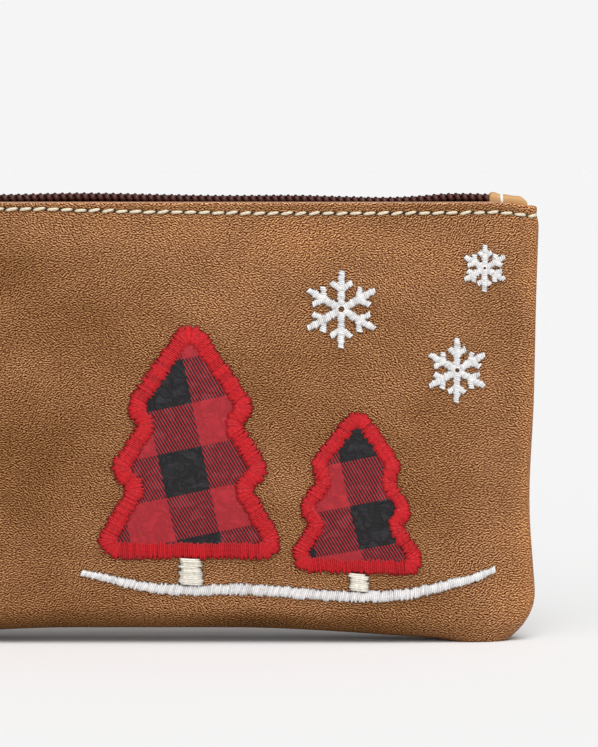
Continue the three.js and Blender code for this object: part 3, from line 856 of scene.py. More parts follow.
def rounded_rectangle(long, wide, radius):
    """A rectangle with round corners about the origin, anticlockwise, as (x, y)."""
    turn = np.linspace(0, np.pi / 2, PLATE_CORNER_POINTS)
    quarter = np.stack([np.cos(turn), np.sin(turn)], axis=-1) * radius
    x, y = long / 2 - radius, wide / 2 - radius
    first = quarter + (x, y)
    second = np.stack([-quarter[:, 1], quarter[:, 0]], axis=-1) + (-x, y)
    third = -quarter + (-x, -y)
    fourth = np.stack([quarter[:, 1], -quarter[:, 0]], axis=-1) + (x, -y)
    return np.concatenate([first, second, third, fourth])


def plate_sections(outer, inner, thick, rounding):
    """A plate between an outer and an inner outline, with rounded edges, about the plane z = 0.

    Round the plate each section is a rounded rectangle from the inner outline to the outer one.
    """
    turn = np.linspace(-np.pi / 2, np.pi / 2, PLATE_EDGE_POINTS)
    inset = rounding * (1 - np.cos(turn))
    flat_edge = np.where(np.abs(turn) < 1e-9, 0, np.sign(turn) * (thick / 2 - rounding))
    height = flat_edge + rounding * np.sin(turn)
    outward = unit(outer - inner)
    rim = outer[:, None] - outward[:, None] * inset[:, None]
    hole = inner[:, None] + outward[:, None] * inset[:, None]
    flat = np.concatenate([rim, hole[:, ::-1]], axis=1)
    up = np.broadcast_to(np.concatenate([height, height[::-1]]), flat.shape[:2])
    return np.concatenate([flat, up[..., None]], axis=-1)


def slider_solids():
    """The slider's roof, its two flanges and the arched bridge that holds the pull.

    The roof and the flanges are plates whose inner outline is almost a point. The bridge is a squarish half
    circle.
    """
    roof_outline = rounded_rectangle(SLIDER_LENGTH, SLIDER_WIDTH, SLIDER_ROUNDING)
    roof_outline[:, 1] *= 1 - ROOF["taper"] * roof_outline[:, 0] / (SLIDER_LENGTH / 2)
    roof = plate_sections(roof_outline, roof_outline * ROOF["closed"], SLIDER_WALL, ROOF["edge"])
    roof_middle = CHANNEL + SLIDER_WALL / 2
    roof += (SLIDER_ACROSS, 0, roof_middle)
    foot = POUCH_HEIGHT + GAP
    wide = SLIDER_WIDTH / 2 - CHAIN_WIDTH / 2 - GAP
    tall = roof_middle - foot
    flange_outline = rounded_rectangle(FLANGE_LENGTH, wide, FLANGE["corner"])
    flange = plate_sections(flange_outline, flange_outline * FLANGE["closed"], tall, FLANGE["edge"])
    out = (SLIDER_WIDTH - wide) / 2
    flanges = np.stack([flange + (SLIDER_ACROSS, side * out, foot + tall / 2) for side in (FRONT, BACK)])
    long, high = squarish(np.linspace(np.pi, 0, BRIDGE["points"]), BRIDGE["squareness"])
    bridge = np.stack(
        [
            SLIDER_ACROSS + (BRIDGE_LENGTH / 2 - BRIDGE["half_thick"]) * long,
            np.zeros_like(long),
            roof_middle + (BRIDGE_HEIGHT - BRIDGE["sink"]) * high,
        ],
        axis=-1,
    )
    outward = unit(bridge - np.array([SLIDER_ACROSS, 0, CHANNEL]))
    arch = tubes(bridge[None], outward[None], BRIDGE_WIDTH / 2, BRIDGE["half_thick"], sides=12)
    return Solid(roof[None], closed=True), Solid(flanges, closed=True), arch


def pull_solid():
    """The flat pull: a rounded plate whose slot goes round one leg of the bridge, sloping to its end."""
    outline = rounded_rectangle(PULL_LENGTH, PULL_WIDTH, SLIDER_ROUNDING)
    outline[:, 1] *= 1 - PULL["taper"] + PULL["taper"] * outline[:, 0] / (PULL_LENGTH / 2)
    slot = rounded_rectangle(PULL_SLOT["long"], PULL_SLOT["wide"], PULL_SLOT["corner"])
    slot += (-PULL_LENGTH / 2 + PULL_SLOT["from_end"], 0)
    plate = plate_sections(outline, slot, SLIDER_WALL, PULL["edge"])
    x = plate[..., 0] + PULL_LENGTH / 2 - PULL["start"]
    up = plate[..., 2]
    points = np.stack(
        [
            SLIDER_ACROSS + x * np.cos(PULL_SLOPE) + up * np.sin(PULL_SLOPE),
            plate[..., 1],
            CHANNEL + BRIDGE_HEIGHT / 2 - x * np.sin(PULL_SLOPE) + up * np.cos(PULL_SLOPE),
        ],
        axis=-1,
    )
    return Solid(points[None], closed=True)


# The applied trees and snow


def closed_loop(outline):
    """An outline with its first point again at its end."""
    return np.concatenate([outline, outline[:1]])


def rounded_outline(corners, radius):
    """A closed outline through corner points, each rounded by an arc, in even short steps."""
    before = unit(np.roll(corners, 1, axis=0) - corners)
    after = unit(np.roll(corners, -1, axis=0) - corners)
    half = np.arccos(np.clip(np.sum(before * after, axis=1), -1, 1)) / 2
    centre = corners + unit(before + after) * (radius / np.sin(half))[:, None]
    start = corners + before * (radius / np.tan(half))[:, None] - centre
    bend = before[:, 0] * after[:, 1] - before[:, 1] * after[:, 0]
    turn = (-np.sign(bend) * (np.pi - 2 * half))[:, None] * np.linspace(0, 1, OUTLINE_ARC_POINTS)
    arcs = np.stack(
        [
            np.cos(turn) * start[:, :1] - np.sin(turn) * start[:, 1:],
            np.sin(turn) * start[:, :1] + np.cos(turn) * start[:, 1:],
        ],
        axis=-1,
    )
    loop = closed_loop((centre[:, None] + arcs).reshape(-1, 2))
    run = running(step_lengths(loop))
    return places_along(loop, run, np.linspace(0, run[-1], OUTLINE_POINTS, endpoint=False))


def offset_outline(outline, by):
    """A closed anticlockwise outline moved along its outward normal."""
    along = unit(np.roll(outline, -1, axis=0) - np.roll(outline, 1, axis=0))
    return outline + by * np.stack([along[:, 1], -along[:, 0]], axis=-1)


def tree_outline(tree):
    """A tree's outline about the middle of its foot, with a tip and a neck on each side of every tier."""
    tips = np.stack([TREE_TIERS["reach"], TREE_TIERS["base"]], axis=-1)
    necks = np.stack([TREE_TIERS["neck"], TREE_TIERS["top"]], axis=-1)
    right = np.stack([tips, necks], axis=1).reshape(-1, 2) * (tree["width"] / 2, tree["height"])
    left = right[-2::-1] * (-1, 1)
    return rounded_outline(np.concatenate([right, left]), OUTLINE_ROUNDING * tree["border"])


def patch_solid(tree):
    """A tree's checked patch, its edge tucked under the satin border.

    It is as wide at each height as the tree is there. It stands off the leather by its edge's lift, and
    swells towards its middle as 1 minus the eighth power of the share of its half width.
    """
    inside = offset_outline(tree_outline(tree), -PATCH["tuck"] * tree["border"])
    right = inside[inside[:, 0] > 0]
    turn = np.arctan2(right[:, 0], -(right[:, 1] - tree["height"] * PATCH["centre"]))
    right = right[np.argsort(turn)]
    heights = np.maximum.accumulate(right[:, 1]) + 1e-6 * np.arange(len(right))
    lowest, highest = inside[:, 1].min() + PATCH["margin"], inside[:, 1].max() - PATCH["margin"]
    rows = np.linspace(lowest, highest, PATCH_ROWS)[:, None]
    half = np.interp(rows, heights, right[:, 0])
    share = np.linspace(-1, 1, PATCH_COLUMNS)[None]
    across = tree["across"] + half * share
    up = tree["up"] + rows + 0 * share
    lift = PATCH["edge_lift"] + PATCH["swell"] * (1 - np.abs(share) ** 8) + 0 * rows
    outer = panel_point(FRONT, across, up, lift)
    inner = panel_point(FRONT, across, up, PATCH["under_lift"])
    uv = np.stack([across, up], axis=-1) * MM
    points = np.concatenate([outer, inner[:, ::-1]], axis=1)
    return Solid(points[None], np.concatenate([uv, uv[:, ::-1]], axis=1)[None])


def satin_solid(starts, ends, thread, rise, start_lift, end_lift, rng):
    """Satin threads laid side by side over the front panel, from starts to ends given as (across, up).

    With t from 0 to 1 along a thread, its lift goes evenly from one needle hole to the other, plus a flat
    arch, rise * (1 - |2t - 1|⁵) ** 0.5. Its ends are ragged, and shade is painted into it where they go
    into the needle holes, as |2t - 1|⁹, and down its sides, where it lies against the next thread.
    """
    each = (len(starts), 1)
    along = unit(ends - starts)
    lengths = np.linalg.norm(ends - starts, axis=1, keepdims=True)
    ragged = np.minimum(SATIN_ENDS["share"] * lengths, SATIN_ENDS["most"])
    starts = starts - along * ragged * rng.uniform(*SATIN_ENDS["stray"], each)
    ends = ends + along * ragged * rng.uniform(*SATIN_ENDS["stray"], each)
    t = (1 - np.cos(np.linspace(0, np.pi, SATIN_POINTS))) / 2
    from_middle = np.abs(2 * t - 1)
    flat = starts[:, None] + (ends - starts)[:, None] * t[:, None]
    arch = (rise + rng.uniform(*SATIN_RISE_STRAY, each)) * (1 - from_middle**5) ** 0.5
    lift = start_lift + (end_lift - start_lift) * t + arch
    paths = panel_point(FRONT, flat[..., 0], flat[..., 1], lift)
    thick = thread / 2 * rng.uniform(*SATIN_THICKNESS_STRAY, each)
    wide, high = (share * thick for share in SATIN_OVAL)
    threads = tubes(paths, (0, FRONT, 0), wide, high, sides=SATIN_SIDES)
    # A random tint for each thread, then painted shade at its ends in the needle holes and down its sides.
    tint = 1 - SATIN_TINT_AND_PAINTED_SHADE["thread"] * rng.uniform(0, 1, each) ** 2
    tint = tint * (1 - SATIN_TINT_AND_PAINTED_SHADE["end"] * from_middle**9)
    over = smoothstep(np.sin(ring_turn(SATIN_SIDES)), SATIN_TINT_AND_PAINTED_SHADE["side_from"], SATIN_TINT_AND_PAINTED_SHADE["side_to"])
    sides = SATIN_TINT_AND_PAINTED_SHADE["side"] + (1 - SATIN_TINT_AND_PAINTED_SHADE["side"]) * over
    return threads._replace(shade=tint[..., None] * sides)


def border_satin(tree, pitch, thread, rng):
    """The satin border round a tree: threads from its inner rim to its outer one, evenly spaced."""
    outline = tree_outline(tree) + (tree["across"], tree["up"])
    half = tree["border"] / 2
    rims = [closed_loop(offset_outline(outline, by)) for by in (-half, half)]
    run = running(np.maximum(*(step_lengths(rim) for rim in rims)))
    at = np.arange(round(run[-1] / pitch)) * pitch
    slip = BORDER["slip"] * pitch
    starts, ends = (places_along(rim, run, (at + by) % run[-1]) for rim, by in zip(rims, (-slip, slip)))
    return satin_solid(starts, ends, thread, BORDER["rise"], BORDER["patch_lift"], SATIN_LIFT, rng)


def column_satin(spine, widths, pitch, thread, rng, lean=0.25):
    """A satin column along a spine of (across, up) places: threads across it, leaning a little along it."""
    run = running(step_lengths(spine))
    at = np.arange(0, run[-1], pitch)
    middle = places_along(spine, run, at)
    along = unit(np.gradient(middle, axis=0))
    across = np.stack([-along[:, 1], along[:, 0]], axis=-1) + lean * along
    wide = np.interp(at, run, widths)[:, None]
    rise = COLUMN_RISE + COLUMN_RISE_BY_WIDTH * float(np.mean(wide))
    starts, ends = (middle + way * across * wide / 2 for way in (-1, 1))
    return satin_solid(starts, ends, thread, rise, SATIN_LIFT, SATIN_LIFT, rng)


def trunk_satin(tree, pitch, thread, rng):
    """A tree's trunk: level threads one above the other, from the snow line to the satin border."""
    across = np.full(TRUNK["points"], float(tree["across"]))
    top = tree["up"] - tree["border"] / 2 - TRUNK["clear"]
    bottom = along_table(SNOW_LINE, "across", "up", across[0]) + SNOW_CLEAR
    spine = np.stack([across, np.linspace(bottom, top, TRUNK["points"])], axis=-1)
    widths = tree["trunk"] * np.linspace(1.0, TRUNK["top_width"], TRUNK["points"])
    return column_satin(spine, widths, pitch, thread, rng, lean=TRUNK["lean"])


def snow_satin(pitch, thread, rng):
    """The line of snow under the trees, thin at both ends."""
    across = np.linspace(SNOW_LINE["across"][0], SNOW_LINE["across"][-1], SNOW_POINTS)
    spine = np.stack([across, along_table(SNOW_LINE, "across", "up", across)], axis=-1)
    return column_satin(spine, along_table(SNOW_LINE, "across", "width", across), pitch, thread, rng)


def snowflake_satin(flake, pitch, thread, rng):
    """A snowflake: six satin arms, and a pair of short satin twigs on each.

    An arm narrows as the sixth power of the share of its length.
    """

    def towards(turn):
        return np.array([np.cos(turn), np.sin(turn)]) * flake["reach"]

    centre = np.array([flake["across"], flake["up"]], float)
    arm_shares = np.linspace(ARM["from"], 1, ARM["points"])[:, None]
    arm_widths = ARM["width"] * flake["arm"] * (1 - ARM["taper"] * arm_shares[:, 0] ** 6)
    twig_shares = np.linspace(TWIG["from"], 1, TWIG["points"])[:, None]
    twig_widths = np.full(TWIG["points"], TWIG["width"] * flake["arm"])
    solids = []
    for k in range(SNOWFLAKE_ARMS):
        turn = np.pi / 2 + 2 * np.pi * k / SNOWFLAKE_ARMS
        arm = towards(turn)
        solids.append(column_satin(centre + arm * arm_shares, arm_widths, pitch, thread, rng))
        for swing in (-TWIG["swing"], TWIG["swing"]):
            twig = towards(turn + swing) * TWIG["reach"]
            spine = centre + arm * TWIG["place"] + twig * twig_shares
            solids.append(column_satin(spine, twig_widths, pitch, thread, rng))
    return solids


# Materials


def add(tree, kind, inputs=None, **settings):
    """Adds a node with its settings.

    `inputs` gives a socket, by its name or number, a value or another node's output.
    """
    node = tree.nodes.new(kind)
    for name, value in settings.items():
        setattr(node, name, value)
    for socket, value in (inputs or {}).items():
        if isinstance(value, bpy.types.NodeSocket):
            tree.links.new(value, node.inputs[socket])
        else:
            node.inputs[socket].default_value = value
    return node


def new_material(name):
    """An empty material and its node tree."""
    material = bpy.data.materials.new(name)
    material.use_nodes = True
    material.node_tree.nodes.clear()
    return material, material.node_tree


def surfaced(material, sockets):
    """The material with its one Principled shader, whose sockets take plain values or nodes' outputs."""
    tree = material.node_tree
    shader = add(tree, "ShaderNodeBsdfPrincipled", sockets)
    add(tree, "ShaderNodeOutputMaterial", {"Surface": shader.outputs[0]})
    return material


def leather_grain(tree, flat, grain):
    """The grain's depth on the flat map: 0 in the creases, 1 on the wrinkles' tops.

    The wrinkles are drawn as coarse as shows at the photograph's scale, and broken up by specks.
    """
    # The wrinkles run about level, and drift to both sides of that over a few centimetres.
    flow = add(tree, "ShaderNodeTexNoise", {"Vector": flat, "Scale": 1 / (22 * MM), "Detail": 0.0})
    lean = add(
        tree,
        "ShaderNodeMapRange",
        {"Value": flow.outputs["Fac"], "From Min": 0.3, "From Max": 0.7, "To Min": 1.15, "To Max": 2.0},
    )
    waves = 1.5
    wrinkles = add(
        tree,
        "ShaderNodeTexGabor",
        {
            "Vector": flat,
            "Scale": 1 / (waves * grain),
            "Frequency": waves,
            "Anisotropy": 0.48,
            "Orientation": lean.outputs[0],
        },
        gabor_type="2D",
    )
    level = add(tree, "ShaderNodeMapping", {"Vector": flat, "Scale": (1.1 / grain, 1.6 / grain, 1)})
    specks = add(
        tree,
        "ShaderNodeTexNoise",
        {"Vector": level.outputs[0], "Scale": 1.0, "Detail": 2.0, "Roughness": 0.6},
        noise_dimensions="2D",
    )
    height = add(tree, "ShaderNodeMix", {0: 0.4, 2: wrinkles.outputs["Value"], 3: specks.outputs["Fac"]})
    depth = add(
        tree, "ShaderNodeMapRange", {"Value": height.outputs[0], "From Min": 0.395, "From Max": 0.635}
    )
    return depth.outputs[0]


def leather_tone_with_painted_light(tree, place, mottle):
    """How light the leather is: a stretched mottling, times the piece's own shade, which holds its clouds
    and its painted light and shade.
    """
    stretched = add(
        tree,
        "ShaderNodeMapping",
        {"Vector": place, "Rotation": (0, 0.3, 0), "Scale": (0.6 / mottle, 1 / mottle, 1 / mottle)},
    )
    mottling = add(
        tree, "ShaderNodeTexNoise", {"Vector": stretched.outputs[0], "Detail": 3.0, "Scale": 1.0}
    ).outputs["Fac"]
    mottled = add(
        tree,
        "ShaderNodeMapRange",
        {"Value": mottling, "From Min": 0.3, "From Max": 0.7, "To Min": 0.79, "To Max": 1.21},
    )
    clouds = add(tree, "ShaderNodeAttribute", attribute_name="shade")
    tone = add(
        tree, "ShaderNodeMath", {0: mottled.outputs[0], 1: clouds.outputs["Fac"]}, operation="MULTIPLY"
    )
    return tone.outputs[0]


def cognac_leather(settings, stitches):
    """Oiled full-grain cowhide: fine wavy wrinkles, dark creases between them, partly painted shade, and
    lighter clouds, some of them painted light.
    """
    material, tree = new_material("oiled_cowhide")
    coords = add(tree, "ShaderNodeTexCoord").outputs
    height = add(tree, "ShaderNodeSeparateXYZ", {0: coords["Object"]}).outputs["Z"]
    depth = leather_grain(tree, coords["UV"], settings.grain)
    tone = leather_tone_with_painted_light(tree, coords["Object"], settings.mottle)
    ridges = add(tree, "ShaderNodeMath", {0: depth, 1: 1.5}, operation="POWER").outputs[0]
    # The creases' dark colour is partly the hide's own and partly painted shade.
    skin = add(
        tree,
        "ShaderNodeMix",
        {0: ridges, 6: (*settings.crease, 1), 7: (*settings.ridge, 1)},
        data_type="RGBA",
    )
    shaded = add(
        tree,
        "ShaderNodeMix",
        {0: 1.0, 6: skin.outputs[2], 7: tone},
        data_type="RGBA",
        blend_type="MULTIPLY",
    )
    # The top edge is cut, and shows the paler inside of the hide.
    cut = add(
        tree,
        "ShaderNodeMapRange",
        {
            "Value": height,
            "From Min": (POUCH_HEIGHT - 0.5) * MM,
            "From Max": (POUCH_HEIGHT - 0.1) * MM,
            "To Min": 0.0,
            "To Max": 0.7,
        },
    )
    edged = add(
        tree,
        "ShaderNodeMix",
        {0: cut.outputs[0], 6: shaded.outputs[2], 7: (*settings.cut_edge, 1)},
        data_type="RGBA",
    )
    rough = add(tree, "ShaderNodeMapRange", {"Value": depth, "To Min": 0.75, "To Max": 0.45})
    # The lighter patches of the tone, both the rubbed ones and those of painted light, shine more than the
    # dark ones, and only on the wrinkles' tops.
    rubbed = add(
        tree,
        "ShaderNodeMapRange",
        {"Value": tone, "From Min": 0.7, "From Max": 1.2, "To Min": 0.15, "To Max": 1.25},
    )
    shine = add(tree, "ShaderNodeMath", {0: ridges, 1: rubbed.outputs[0]}, operation="MULTIPLY")
    # The stitched top edge is pressed smoother than the rest.
    pressed = add(
        tree,
        "ShaderNodeMapRange",
        {
            "Value": height,
            "From Min": (POUCH_HEIGHT - 2.6) * MM,
            "From Max": (POUCH_HEIGHT - 0.6) * MM,
            "To Min": 1.0,
            "To Max": 0.3,
        },
    )
    bump = add(
        tree, "ShaderNodeBump", {"Strength": pressed.outputs[0], "Distance": 0.16 * MM, "Height": depth}
    )
    return surfaced(
        material,
        {
            "Base Color": needle_hole_painted_shade(tree, coords["UV"], edged.outputs[2], *stitches),
            "Roughness": rough.outputs[0],
            "IOR": 1.45,
            "Specular IOR Level": shine.outputs[0],
            "Normal": bump.outputs[0],
        },
    )


def needle_hole_painted_shade(tree, flat, colour, pitch, drop):
    """Paints shade into a leather colour at the needle holes, half way between the stitches of the top row.
    """
    turned = add(
        tree,
        "ShaderNodeVectorMath",
        {0: flat, 1: ((pitch / 2 - STITCH_SHIFT) * MM, (drop - POUCH_HEIGHT) * MM, 0)},
        operation="ADD",
    )
    parts = add(tree, "ShaderNodeSeparateXYZ", {0: turned.outputs[0]})
    wrapped = add(
        tree,
        "ShaderNodeMath",
        {0: parts.outputs["X"], 1: pitch * MM / 2, 2: -pitch * MM / 2},
        operation="WRAP",
    )
    away = add(tree, "ShaderNodeCombineXYZ", {"X": wrapped.outputs[0], "Y": parts.outputs["Y"]})
    distance = add(tree, "ShaderNodeVectorMath", {0: away.outputs[0]}, operation="LENGTH")
    dark = add(
        tree,
        "ShaderNodeMapRange",
        {
            "Value": distance.outputs["Value"],
            "From Min": 0.25 * MM,
            "From Max": 0.7 * MM,
            "To Min": 0.9,
            "To Max": 0.0,
        },
        interpolation_type="SMOOTHSTEP",
    )
    hole_shaded = add(
        tree,
        "ShaderNodeMix",
        {0: dark.outputs[0], 6: colour, 7: (*linear("#24150d"), 1)},
        data_type="RGBA",
    )
    return hole_shaded.outputs[2]


def tab_leather(settings):
    """Smooth undyed calf split: an even pale tan with a faint darker fibre."""
    material, tree = new_material("pale_calf_leather")
    coords = add(tree, "ShaderNodeTexCoord").outputs
    fibre = add(
        tree,
        "ShaderNodeTexNoise",
        {"Vector": coords["Object"], "Scale": 1 / (0.6 * MM), "Detail": 4.0, "Roughness": 0.6},
    ).outputs["Fac"]
    colour = add(
        tree,
        "ShaderNodeMix",
        {0: fibre, 6: (*settings.tab_dark, 1), 7: (*settings.tab_pale, 1)},
        data_type="RGBA",
    )
    bump = add(tree, "ShaderNodeBump", {"Strength": 0.4, "Distance": 0.08 * MM, "Height": fibre})
    return surfaced(
        material,
        {"Base Color": colour.outputs[2], "Roughness": 0.6, "IOR": 1.45, "Normal": bump.outputs[0]},
    )


def spun_thread(name, colour, lay):
    """Spun polyester thread: a soft sheen, plies that wind round it, and ends darkened by painted shade in
    its needle holes.

    Each of its two plies winds round it once in twice `lay` millimetres.
    """
    material, tree = new_material(name)
    coords = add(tree, "ShaderNodeTexCoord").outputs
    shade = add(tree, "ShaderNodeAttribute", attribute_name="shade")
    fibre = add(
        tree, "ShaderNodeTexNoise", {"Vector": coords["Object"], "Scale": 1 / (0.7 * MM), "Detail": 3.0}
    )
    lit = add(
        tree,
        "ShaderNodeMapRange",
        {"Value": fibre.outputs["Fac"], "From Min": 0.25, "From Max": 0.6, "To Min": 0.85},
    )
    tone = add(tree, "ShaderNodeMath", {0: lit.outputs[0], 1: shade.outputs["Fac"]}, operation="MULTIPLY")
    tinted = add(
        tree,
        "ShaderNodeMix",
        {0: tone.outputs[0], 6: (*(0.12 * part for part in colour), 1), 7: (*colour, 1)},
        data_type="RGBA",
    )
    winding = add(
        tree,
        "ShaderNodeVectorMath",
        {0: coords["UV"], 1: (2 * np.pi / (lay * MM), 4 * np.pi, 0)},
        operation="DOT_PRODUCT",
    )
    plies = add(tree, "ShaderNodeMath", {0: winding.outputs["Value"]}, operation="SINE")
    bump = add(tree, "ShaderNodeBump", {"Strength": 0.5, "Distance": 0.06 * MM, "Height": plies.outputs[0]})
    return surfaced(
        material,
        {
            "Base Color": tinted.outputs[2],
            "Roughness": 0.55,
            "IOR": 1.5,
            "Specular IOR Level": 0.3,
            "Normal": bump.outputs[0],
        },
    )


def check_pattern(tree, flat, check, twill):
    turned = add(
        tree, "ShaderNodeMapping", {"Vector": flat, "Rotation": (0, 0, -0.21), "Scale": (1 / check,) * 3}
    )
    parts = add(tree, "ShaderNodeSeparateXYZ", {0: turned.outputs[0]})
    bands = []
    for axis in ("X", "Y"):
        wrapped = add(tree, "ShaderNodeMath", {0: parts.outputs[axis], 1: 1.0, 2: -1.0}, operation="WRAP")
        band = add(tree, "ShaderNodeMath", {0: wrapped.outputs[0], 1: 0.0}, operation="GREATER_THAN")
        bands.append(band.outputs[0])
    slanted = add(
        tree,
        "ShaderNodeVectorMath",
        {0: flat, 1: (0.86 / twill, 0.5 / twill, 0)},
        operation="DOT_PRODUCT",
    )
    stripe = add(tree, "ShaderNodeMath", {0: slanted.outputs["Value"]}, operation="FRACT")
    stripes = add(tree, "ShaderNodeMath", {0: stripe.outputs[0], 1: 0.52}, operation="GREATER_THAN")
    # 0 is a dark square, 2 a red one, and 1 a crossing, where the stripes decide.
    both = add(tree, "ShaderNodeMath", {0: bands[0], 1: bands[1]}, operation="ADD").outputs[0]
    crossing = add(tree, "ShaderNodeMath", {0: both, 1: 1.0, 2: 0.1}, operation="COMPARE")
    red = add(tree, "ShaderNodeMath", {0: both, 1: 1.5}, operation="GREATER_THAN")
    striped = add(
        tree,
        "ShaderNodeMath",
        {0: crossing.outputs[0], 1: stripes.outputs[0], 2: red.outputs[0]},
        operation="MULTIPLY_ADD",
    )
    return striped.outputs[0]


def checked_cloth(settings):
    """Coated cloth printed with a two-colour check: flat squares and fine stripes, with soft creases whose
    shade is painted into the colour.
    """
    material, tree = new_material("checked_coated_cloth")
    coords = add(tree, "ShaderNodeTexCoord").outputs
    red = check_pattern(tree, coords["UV"], settings.check, settings.twill)
    colour = add(
        tree,
        "ShaderNodeMix",
        {0: red, 6: (*settings.check_dark, 1), 7: (*settings.check_red, 1)},
        data_type="RGBA",
    )
    crumple = add(
        tree,
        "ShaderNodeTexNoise",
        {
            "Vector": coords["Object"],
            "Scale": 1 / (3.4 * MM),
            "Detail": 5.0,
            "Roughness": 0.6,
            "Distortion": 0.5,
        },
    )
    # Folded over at its middle value, the noise has a sharp crease wherever it passes it.
    crease = add(tree, "ShaderNodeMath", {0: crumple.outputs["Fac"], 1: 0.5}, operation="PINGPONG")
    # The dark squares are crumpled most, and get the deepest painted shade in their creases.
    deep = add(tree, "ShaderNodeMapRange", {"Value": red, "To Min": 0.4, "To Max": 0.86})
    fold_and_crease_shade = add(
        tree,
        "ShaderNodeMapRange",
        {
            "Value": crease.outputs[0],
            "From Min": 0.36,
            "From Max": 0.5,
            "To Min": 1.15,
            "To Max": deep.outputs[0],
        },
    )
    # The colour is darkened along the creases by painted shade.
    crease_shaded = add(
        tree,
        "ShaderNodeMix",
        {0: 1.0, 6: colour.outputs[2], 7: fold_and_crease_shade.outputs[0]},
        data_type="RGBA",
        blend_type="MULTIPLY",
    )
    bump = add(tree, "ShaderNodeBump", {"Strength": 0.8, "Distance": 0.5 * MM, "Height": fold_and_crease_shade.outputs[0]})
    return surfaced(
        material,
        {
            "Base Color": crease_shaded.outputs[2],
            "Roughness": 0.6,
            "IOR": 1.45,
            "Specular IOR Level": 0.3,
            "Normal": bump.outputs[0],
        },
    )


def zip_tape_cloth(settings):
    """Woven polyester tape: ribs across its length, about half a millimetre wide, with painted shade
    darkening the grooves between them.
    """
    material, tree = new_material("woven_zip_tape")
    coords = add(tree, "ShaderNodeTexCoord").outputs
    rib = add(
        tree,
        "ShaderNodeVectorMath",
        {0: coords["UV"], 1: (2 * np.pi / (0.55 * MM), 0, 0)},
        operation="DOT_PRODUCT",
    )
    wave = add(tree, "ShaderNodeMath", {0: rib.outputs["Value"]}, operation="SINE")
    height = add(tree, "ShaderNodeMapRange", {"Value": wave.outputs[0], "From Min": -1.0}).outputs[0]
    # Painted shade: the colour halves in the grooves between the ribs.
    colour = add(
        tree,
        "ShaderNodeMix",
        {0: height, 6: (*(0.5 * part for part in settings.tape), 1), 7: (*settings.tape, 1)},
        data_type="RGBA",
    )
    bump = add(tree, "ShaderNodeBump", {"Strength": 0.6, "Distance": 0.1 * MM, "Height": height})
    return surfaced(
        material,
        {"Base Color": colour.outputs[2], "Roughness": 0.85, "IOR": 1.5, "Normal": bump.outputs[0]},
    )


def coil_nylon(settings):
    """Drawn nylon wire: dark, smooth and a little glossy, with faint clouding."""
    material, tree = new_material("drawn_nylon")
    coords = add(tree, "ShaderNodeTexCoord").outputs
    cloud = add(
        tree, "ShaderNodeTexNoise", {"Vector": coords["Object"], "Scale": 1 / (2 * MM), "Detail": 2.0}
    ).outputs["Fac"]
    colour = add(
        tree,
        "ShaderNodeMix",
        {0: cloud, 6: (*(0.6 * part for part in settings.coil), 1), 7: (*settings.coil, 1)},
        data_type="RGBA",
    )
    gloss = add(tree, "ShaderNodeMapRange", {"Value": cloud, "To Min": 0.32, "To Max": 0.45})
    return surfaced(
        material,
        {
            "Base Color": colour.outputs[2],
            "Roughness": gloss.outputs[0],
            "IOR": 1.53,
            "Specular IOR Level": 0.35,
        },
    )


def aged_brass(settings):
    """Die-cast slider in aged brass: dull brown in its hollows, rubbed brighter in patches."""
    material, tree = new_material("aged_brass")
    coords = add(tree, "ShaderNodeTexCoord").outputs
    rub = add(
        tree,
        "ShaderNodeTexNoise",
        {"Vector": coords["Object"], "Scale": 1 / (2.5 * MM), "Detail": 5.0, "Roughness": 0.65},
    ).outputs["Fac"]
    patch = add(
        tree,
        "ShaderNodeMapRange",
        {"Value": rub, "From Min": 0.35, "From Max": 0.65},
        interpolation_type="SMOOTHSTEP",
    ).outputs[0]
    colour = add(
        tree,
        "ShaderNodeMix",
        {0: patch, 6: (*settings.metal_dull, 1), 7: (*settings.metal_rubbed, 1)},
        data_type="RGBA",
    )
    rough = add(tree, "ShaderNodeMapRange", {"Value": patch, "To Min": 0.5, "To Max": 0.3})
    bump = add(tree, "ShaderNodeBump", {"Strength": 0.2, "Distance": 0.05 * MM, "Height": rub})
    return surfaced(
        material,
        {
            "Base Color": colour.outputs[2],
            "Metallic": 1.0,
            "Roughness": rough.outputs[0],
            "Normal": bump.outputs[0],
        },
    )


def studio_floor(settings):
    """Matt white paper: even, with no shine."""
    material, _ = new_material("matt_white_paper")
    sockets = {"Base Color": (*settings.floor, 1), "Roughness": 1.0, "Specular IOR Level": 0.0}
    return surfaced(material, sockets)


# The stage


def link_object(scene, name, data):
    """A new object in the scene."""
    thing = bpy.data.objects.new(name, data)
    scene.collection.objects.link(thing)
    return thing


def look_along(thing, direction):
    """Turns a lamp or a camera to face along a direction."""
    thing.rotation_mode = "QUATERNION"
    thing.rotation_quaternion = direction.to_track_quat("-Z", "Y")


def lay_floor(scene, settings):
    """A wide square floor at height 0."""
    half = FLOOR_HALF * MM
    corners = [(-half, -half, 0), (half, -half, 0), (half, half, 0), (-half, half, 0)]
    mesh = bpy.data.meshes.new("floor")
    mesh.from_pydata(corners, [], [(0, 1, 2, 3)])
    mesh.materials.append(studio_floor(settings))
    link_object(scene, "floor", mesh)


